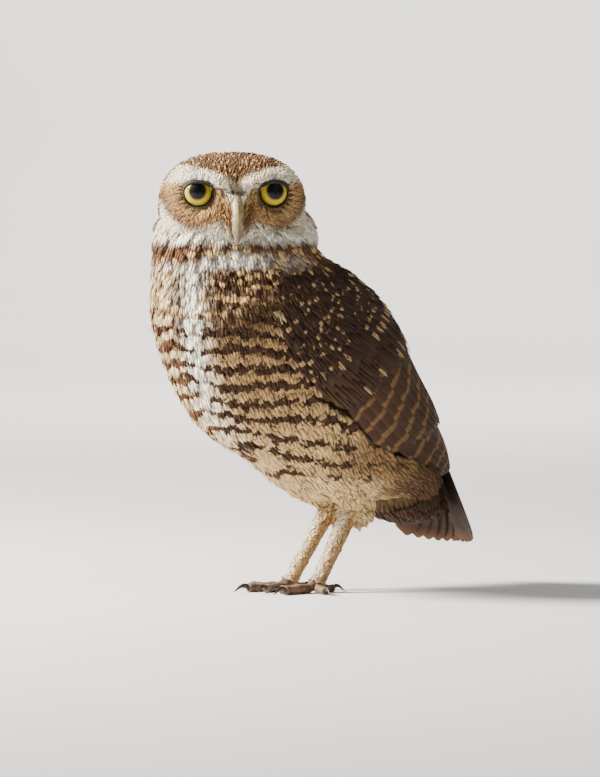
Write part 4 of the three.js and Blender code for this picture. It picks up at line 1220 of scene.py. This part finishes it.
lid_skin, start = new_material("lid_skin")
pores = start.noise(1800.0)
dark_skin = pores.between(0.3, 0.7).colours(rgba(13, 10, 9), rgba(30, 24, 20))
start.surface(Base_Color=dark_skin, Roughness=0.7, Normal=pores.relief(0.3, 0.0003))


def tube_grid(rows, sides):
    """Shares from 0 to 1 along a tube and angles round it, for each of its points."""
    return grid(np.linspace(0, 1, rows), np.linspace(0, 2 * math.pi, sides, endpoint=False))


LID_THICK = 0.0004
for side_name, sign in (("left", 1), ("right", -1)):
    centre, axes = eye_frame(sign)
    b, a = np.linspace(-math.pi / 2 + 0.02, math.pi / 2, 40)[:, None], tube_grid(40, 64)[1]
    local = xyz(np.cos(b) * np.sin(a), -np.sin(b), np.cos(b) * np.cos(a))
    ball = closed_tube(local * EYE["radius"] @ axes.T + centre, Gaze=0.5 + 0.5 * local[..., [0, 2]])
    ball["faces"] = [rows[:, ::-1] for rows in ball["faces"]]
    eye = make_piece("eye_ball_" + side_name, [ball], eyeball)
    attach(eye, "root")
    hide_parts("eye_" + side_name)

    # The lid is a rolled rim round the opening that runs out from the ball to the feathers' roots,
    # which are sought on the head's surface and evened out along the rim.
    s, a = tube_grid(14, 72)
    wide, high = EYE["opening"], EYE["opening"] * np.where(np.sin(a) > 0, EYE["hood"], 0.98)
    margin = 0.7 + 1.2 * smooth(-0.4, 0.7, np.sin(a))
    x, z = (wide + margin * s) * np.cos(a), (high + margin * s) * np.sin(a)
    rise, turn = grid(np.arange(-40, 50, 0.8), np.arange(0, 75, 0.8))
    face = ((head_point(sign * turn, rise, -0.9) - centre) @ axes).reshape(-1, 3)
    nearest = np.argmin((face[:, 0, None] - x[-1]) ** 2 + (face[:, 2, None] - z[-1]) ** 2, 0)
    outer = -face[nearest, 1]
    outer = sum((3 - abs(k)) * np.roll(outer, k) for k in (2, 1, 0, -1, -2)) / 9
    on_ball = np.sqrt(EYE["radius"] ** 2 - x[0] ** 2 - z[0] ** 2) + 0.1
    depth = mix(on_ball, outer, smooth(0.2, 1, s)) + 0.45 * np.sin(math.pi * np.clip(s / 0.75, 0, 1)) ** 0.6
    lid = {"points": xyz(x, -depth, z) @ axes.T + centre, "faces": [sheet_faces(*s.shape, True)[:, ::-1]]}
    rim = make_piece("lid_" + side_name, [lid], lid_skin)
    thick = rim.modifiers.new("thickness", "SOLIDIFY")
    thick.thickness, thick.offset = LID_THICK, -1
    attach(rim, "root")


# The bill: a hooked upper half over a shorter lower one, horn-coloured, darker at the tip, with a
# nostril in the swollen base on each side.
BILL = {"z": 3.8, "root": 5.5, "length": 25.6, "width": 3.1, "depth": 4.8, "from": 12, "to": 104}


def bill_line(t):
    """The bill's middle line, an arc that curves down from between the eyes: y, z, up and taper."""
    start_at, end_at = math.radians(BILL["from"]), math.radians(BILL["to"])
    radius = BILL["length"] / (end_at - start_at)
    bend = mix(start_at, end_at, t)
    root = head_local(0, 0)[1] + BILL["root"]
    y = root - radius * (np.sin(bend) - math.sin(start_at))
    z = BILL["z"] - radius * (math.cos(start_at) - np.cos(bend))
    return y, z, xyz(0, -np.sin(bend), np.cos(bend)), np.sqrt(1 - t**1.7 * 0.99)


def mapped_tube(rings, around, along):
    """A closed tube with a map of the share round it and the length along it."""
    return closed_tube(rings, Length=np.stack([around, along], -1))


horn, start = new_material("bill_horn")
_, t_horn, _ = start.uv("Length").parts()
streak = start.noise(420.0, 4.0)
tone = streak.between(0.3, 0.7).colours(rgba(120, 106, 66), rgba(168, 150, 100))
tone = t_horn.between(0.55, 1.0).colours(tone, rgba(84, 76, 58))
tone = t_horn.between(0.24, 0.05).colours(tone, rgba(104, 92, 70))
start.surface(
    Base_Color=tone,
    Roughness=streak * 0.2 + 0.35,
    Normal=streak.relief(0.2, 0.0003),
    Coat_Weight=0.12,
)

t, a = tube_grid(40, 40)
c, s = np.cos(a), np.sin(a)
y, z, up, taper = bill_line(t)
deep = BILL["depth"] * taper * mix(1, 0.75, t)
lift = np.where(s > 0, deep * 0.7 * np.abs(s) ** 0.9, s * deep * 0.4)
ridge = 0.35 * bump(c, 0.25) * (s > 0) * taper
nostril = -1.1 * bump(np.hypot((t - 0.2) * 27, (s - 0.45) * 4.5), 1.1) * (np.abs(c) > 0.4)
cere = 0.5 * bump(t - 0.16, 0.12)
x = (BILL["width"] * taper + cere + nostril) * c
upper = xyz(x, y, z) + up * (lift + ridge + cere * np.maximum(s, 0))[..., None]
bill_upper = make_piece("bill_hook", [mapped_tube(out_of_head(upper), a / (2 * math.pi), t)], horn)

t, a = tube_grid(24, 30)
at = mix(0.15, 0.86, t)
y, z, up, _ = bill_line(at)
size = np.sqrt(1 - t**3 * 0.9)
lower = xyz(BILL["width"] * size * np.cos(a), y, z) + up * (-3.2 + 1.7 * size * np.sin(a))[..., None]
bill_lower = make_piece("bill_under", [mapped_tube(out_of_head(lower), a / (2 * math.pi), at)], horn)
for piece, node in ((bill_upper, "bill_upper"), (bill_lower, "bill_lower")):
    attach(piece, "root")
    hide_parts(node)


# The feet: four scaly toes each, two forward, one out to the side and one back, that meet under the
# ankle, with plates across their tops and pads below. A toe is given by its name, turn, length and
# half width, and each carries a horn claw.
STANCE = (10.5, -11.2)
TOES = (("inner", -14, 20, 2.3), ("middle", 9, 24, 2.4), ("outer", 66, 18, 2.2), ("hind", 176, 11, 2.1))
LONGEST_TOE, CLAW_LENGTH = 24, 9.5
PLATE, ANKLE_PLATES, FLOOR = 1.5, 5, 0.02

scutes, start = new_material("toe_skin")
_, along_toe, _ = start.uv("Length").parts()
grain = start.node("ShaderNodeTexVoronoi", {}, {"Vector": start.place(), "Scale": 900.0})
dust = start.noise(300.0, 4.0)
plates = along_toe.fraction()
groove = plates.between(0.0, 0.18) * plates.between(1.0, 0.82)
start.surface(
    Base_Color=(groove * dust.between(0.2, 0.7)).colours(rgba(66, 46, 33), rgba(136, 106, 80)),
    Roughness=0.6,
    Normal=(groove + grain * 0.5).relief(0.6, 0.0005),
)


def toe_tube(centre, way, cross, long, thick):
    """A toe along its way: rings that swell at the joints, sink at the plates' edges, and are cut
    flat where they meet the floor."""
    t, a = tube_grid(40, 20)
    radius = thick * mix(1.16, 0.94, t) * (1 + 0.1 * np.cos(4 * math.pi * t))
    height = mix(4.4, thick * 0.88, smooth(0, 0.3, t))
    cell = np.mod(t * long / PLATE, 1)
    radius = radius - 0.14 * bump(np.minimum(cell, 1 - cell), 0.12) * (np.sin(a) > -0.1)
    close = np.sqrt(np.clip(1 - ((t - 0.93) / 0.07) ** 2 * (t > 0.93) * 0.6, 0.1, 1))
    points = centre + way * (long * t)[..., None] + cross * (radius * close * np.cos(a))[..., None]
    points = points + xyz(0, 0, height + radius * close * np.sin(a))
    points[..., 2] = np.maximum(points[..., 2], FLOOR)
    return mapped_tube(points, a / (2 * math.pi), t * long / PLATE)


def claw_tube(centre, way, cross, long, thick):
    """A claw from the toe's end, sickle-shaped: it rises, bends down to the floor and tapers."""
    t, a = tube_grid(22, 18)
    reach = long - 0.6 + (CLAW_LENGTH * mix(0.75, 1, long / LONGEST_TOE) * 0.82 + 1.2) * t
    height = thick * 0.95 + 1.5 * np.sin(np.pi * np.minimum(1, t * 1.15)) * (1 - t * 0.35) - 1.85 * t * t
    radius = mix(thick * 0.72, 0.16, t**0.9)
    sweep = np.radians(mix(-8, 60, t))
    up = way * np.sin(sweep)[..., None] + xyz(0, 0, np.cos(sweep))
    points = centre + way * reach[..., None] + xyz(0, 0, height)
    points = points + cross * (radius * 0.8 * np.cos(a))[..., None] + up * (radius * np.sin(a))[..., None]
    return closed_tube(points)


claw_horn, start = new_material("claw_horn")
wear = start.noise(500.0, 3.0)
start.surface(
    Base_Color=wear.between(0.3, 0.75).colours(rgba(24, 20, 18), rgba(62, 50, 40)),
    Roughness=wear * 0.25 + 0.28,
    Normal=wear.relief(0.15, 0.0002),
)

for side_name, sign in (("left", 1), ("right", -1)):
    parts = []
    centre = np.array([sign * STANCE[0], STANCE[1], 0])
    for toe_name, turn, long, thick in TOES:
        heading = math.radians(turn)
        way = np.array([sign * math.sin(heading), -math.cos(heading), 0])
        cross = np.array([-way[1], way[0], 0])
        measures = centre, way, cross, long, thick
        parts.append(toe_tube(*measures))
        claw = make_piece(f"talon_{toe_name}_{side_name}", [claw_tube(*measures)], claw_horn)
        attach(claw, "root")
        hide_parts(f"claw_{toe_name}_{side_name}")
    ankle = np.array([[0, 1.6, 8.4, 2.4], [0, 0.6, 5, 3.7], [0, -0.4, 2.4, 3.6]]) + [*centre, 0]
    t, turn = grid(np.linspace(0, 1, 12), np.arange(0, 360, 15.0))
    points = limb_point(ankle, t, turn, 0)
    points[..., 2] = np.maximum(points[..., 2], FLOOR)
    parts.append(mapped_tube(points, turn / 360, t * ANKLE_PLATES))
    foot = make_piece("toes_" + side_name, parts, scutes)
    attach(foot, "root")
    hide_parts("foot_" + side_name)
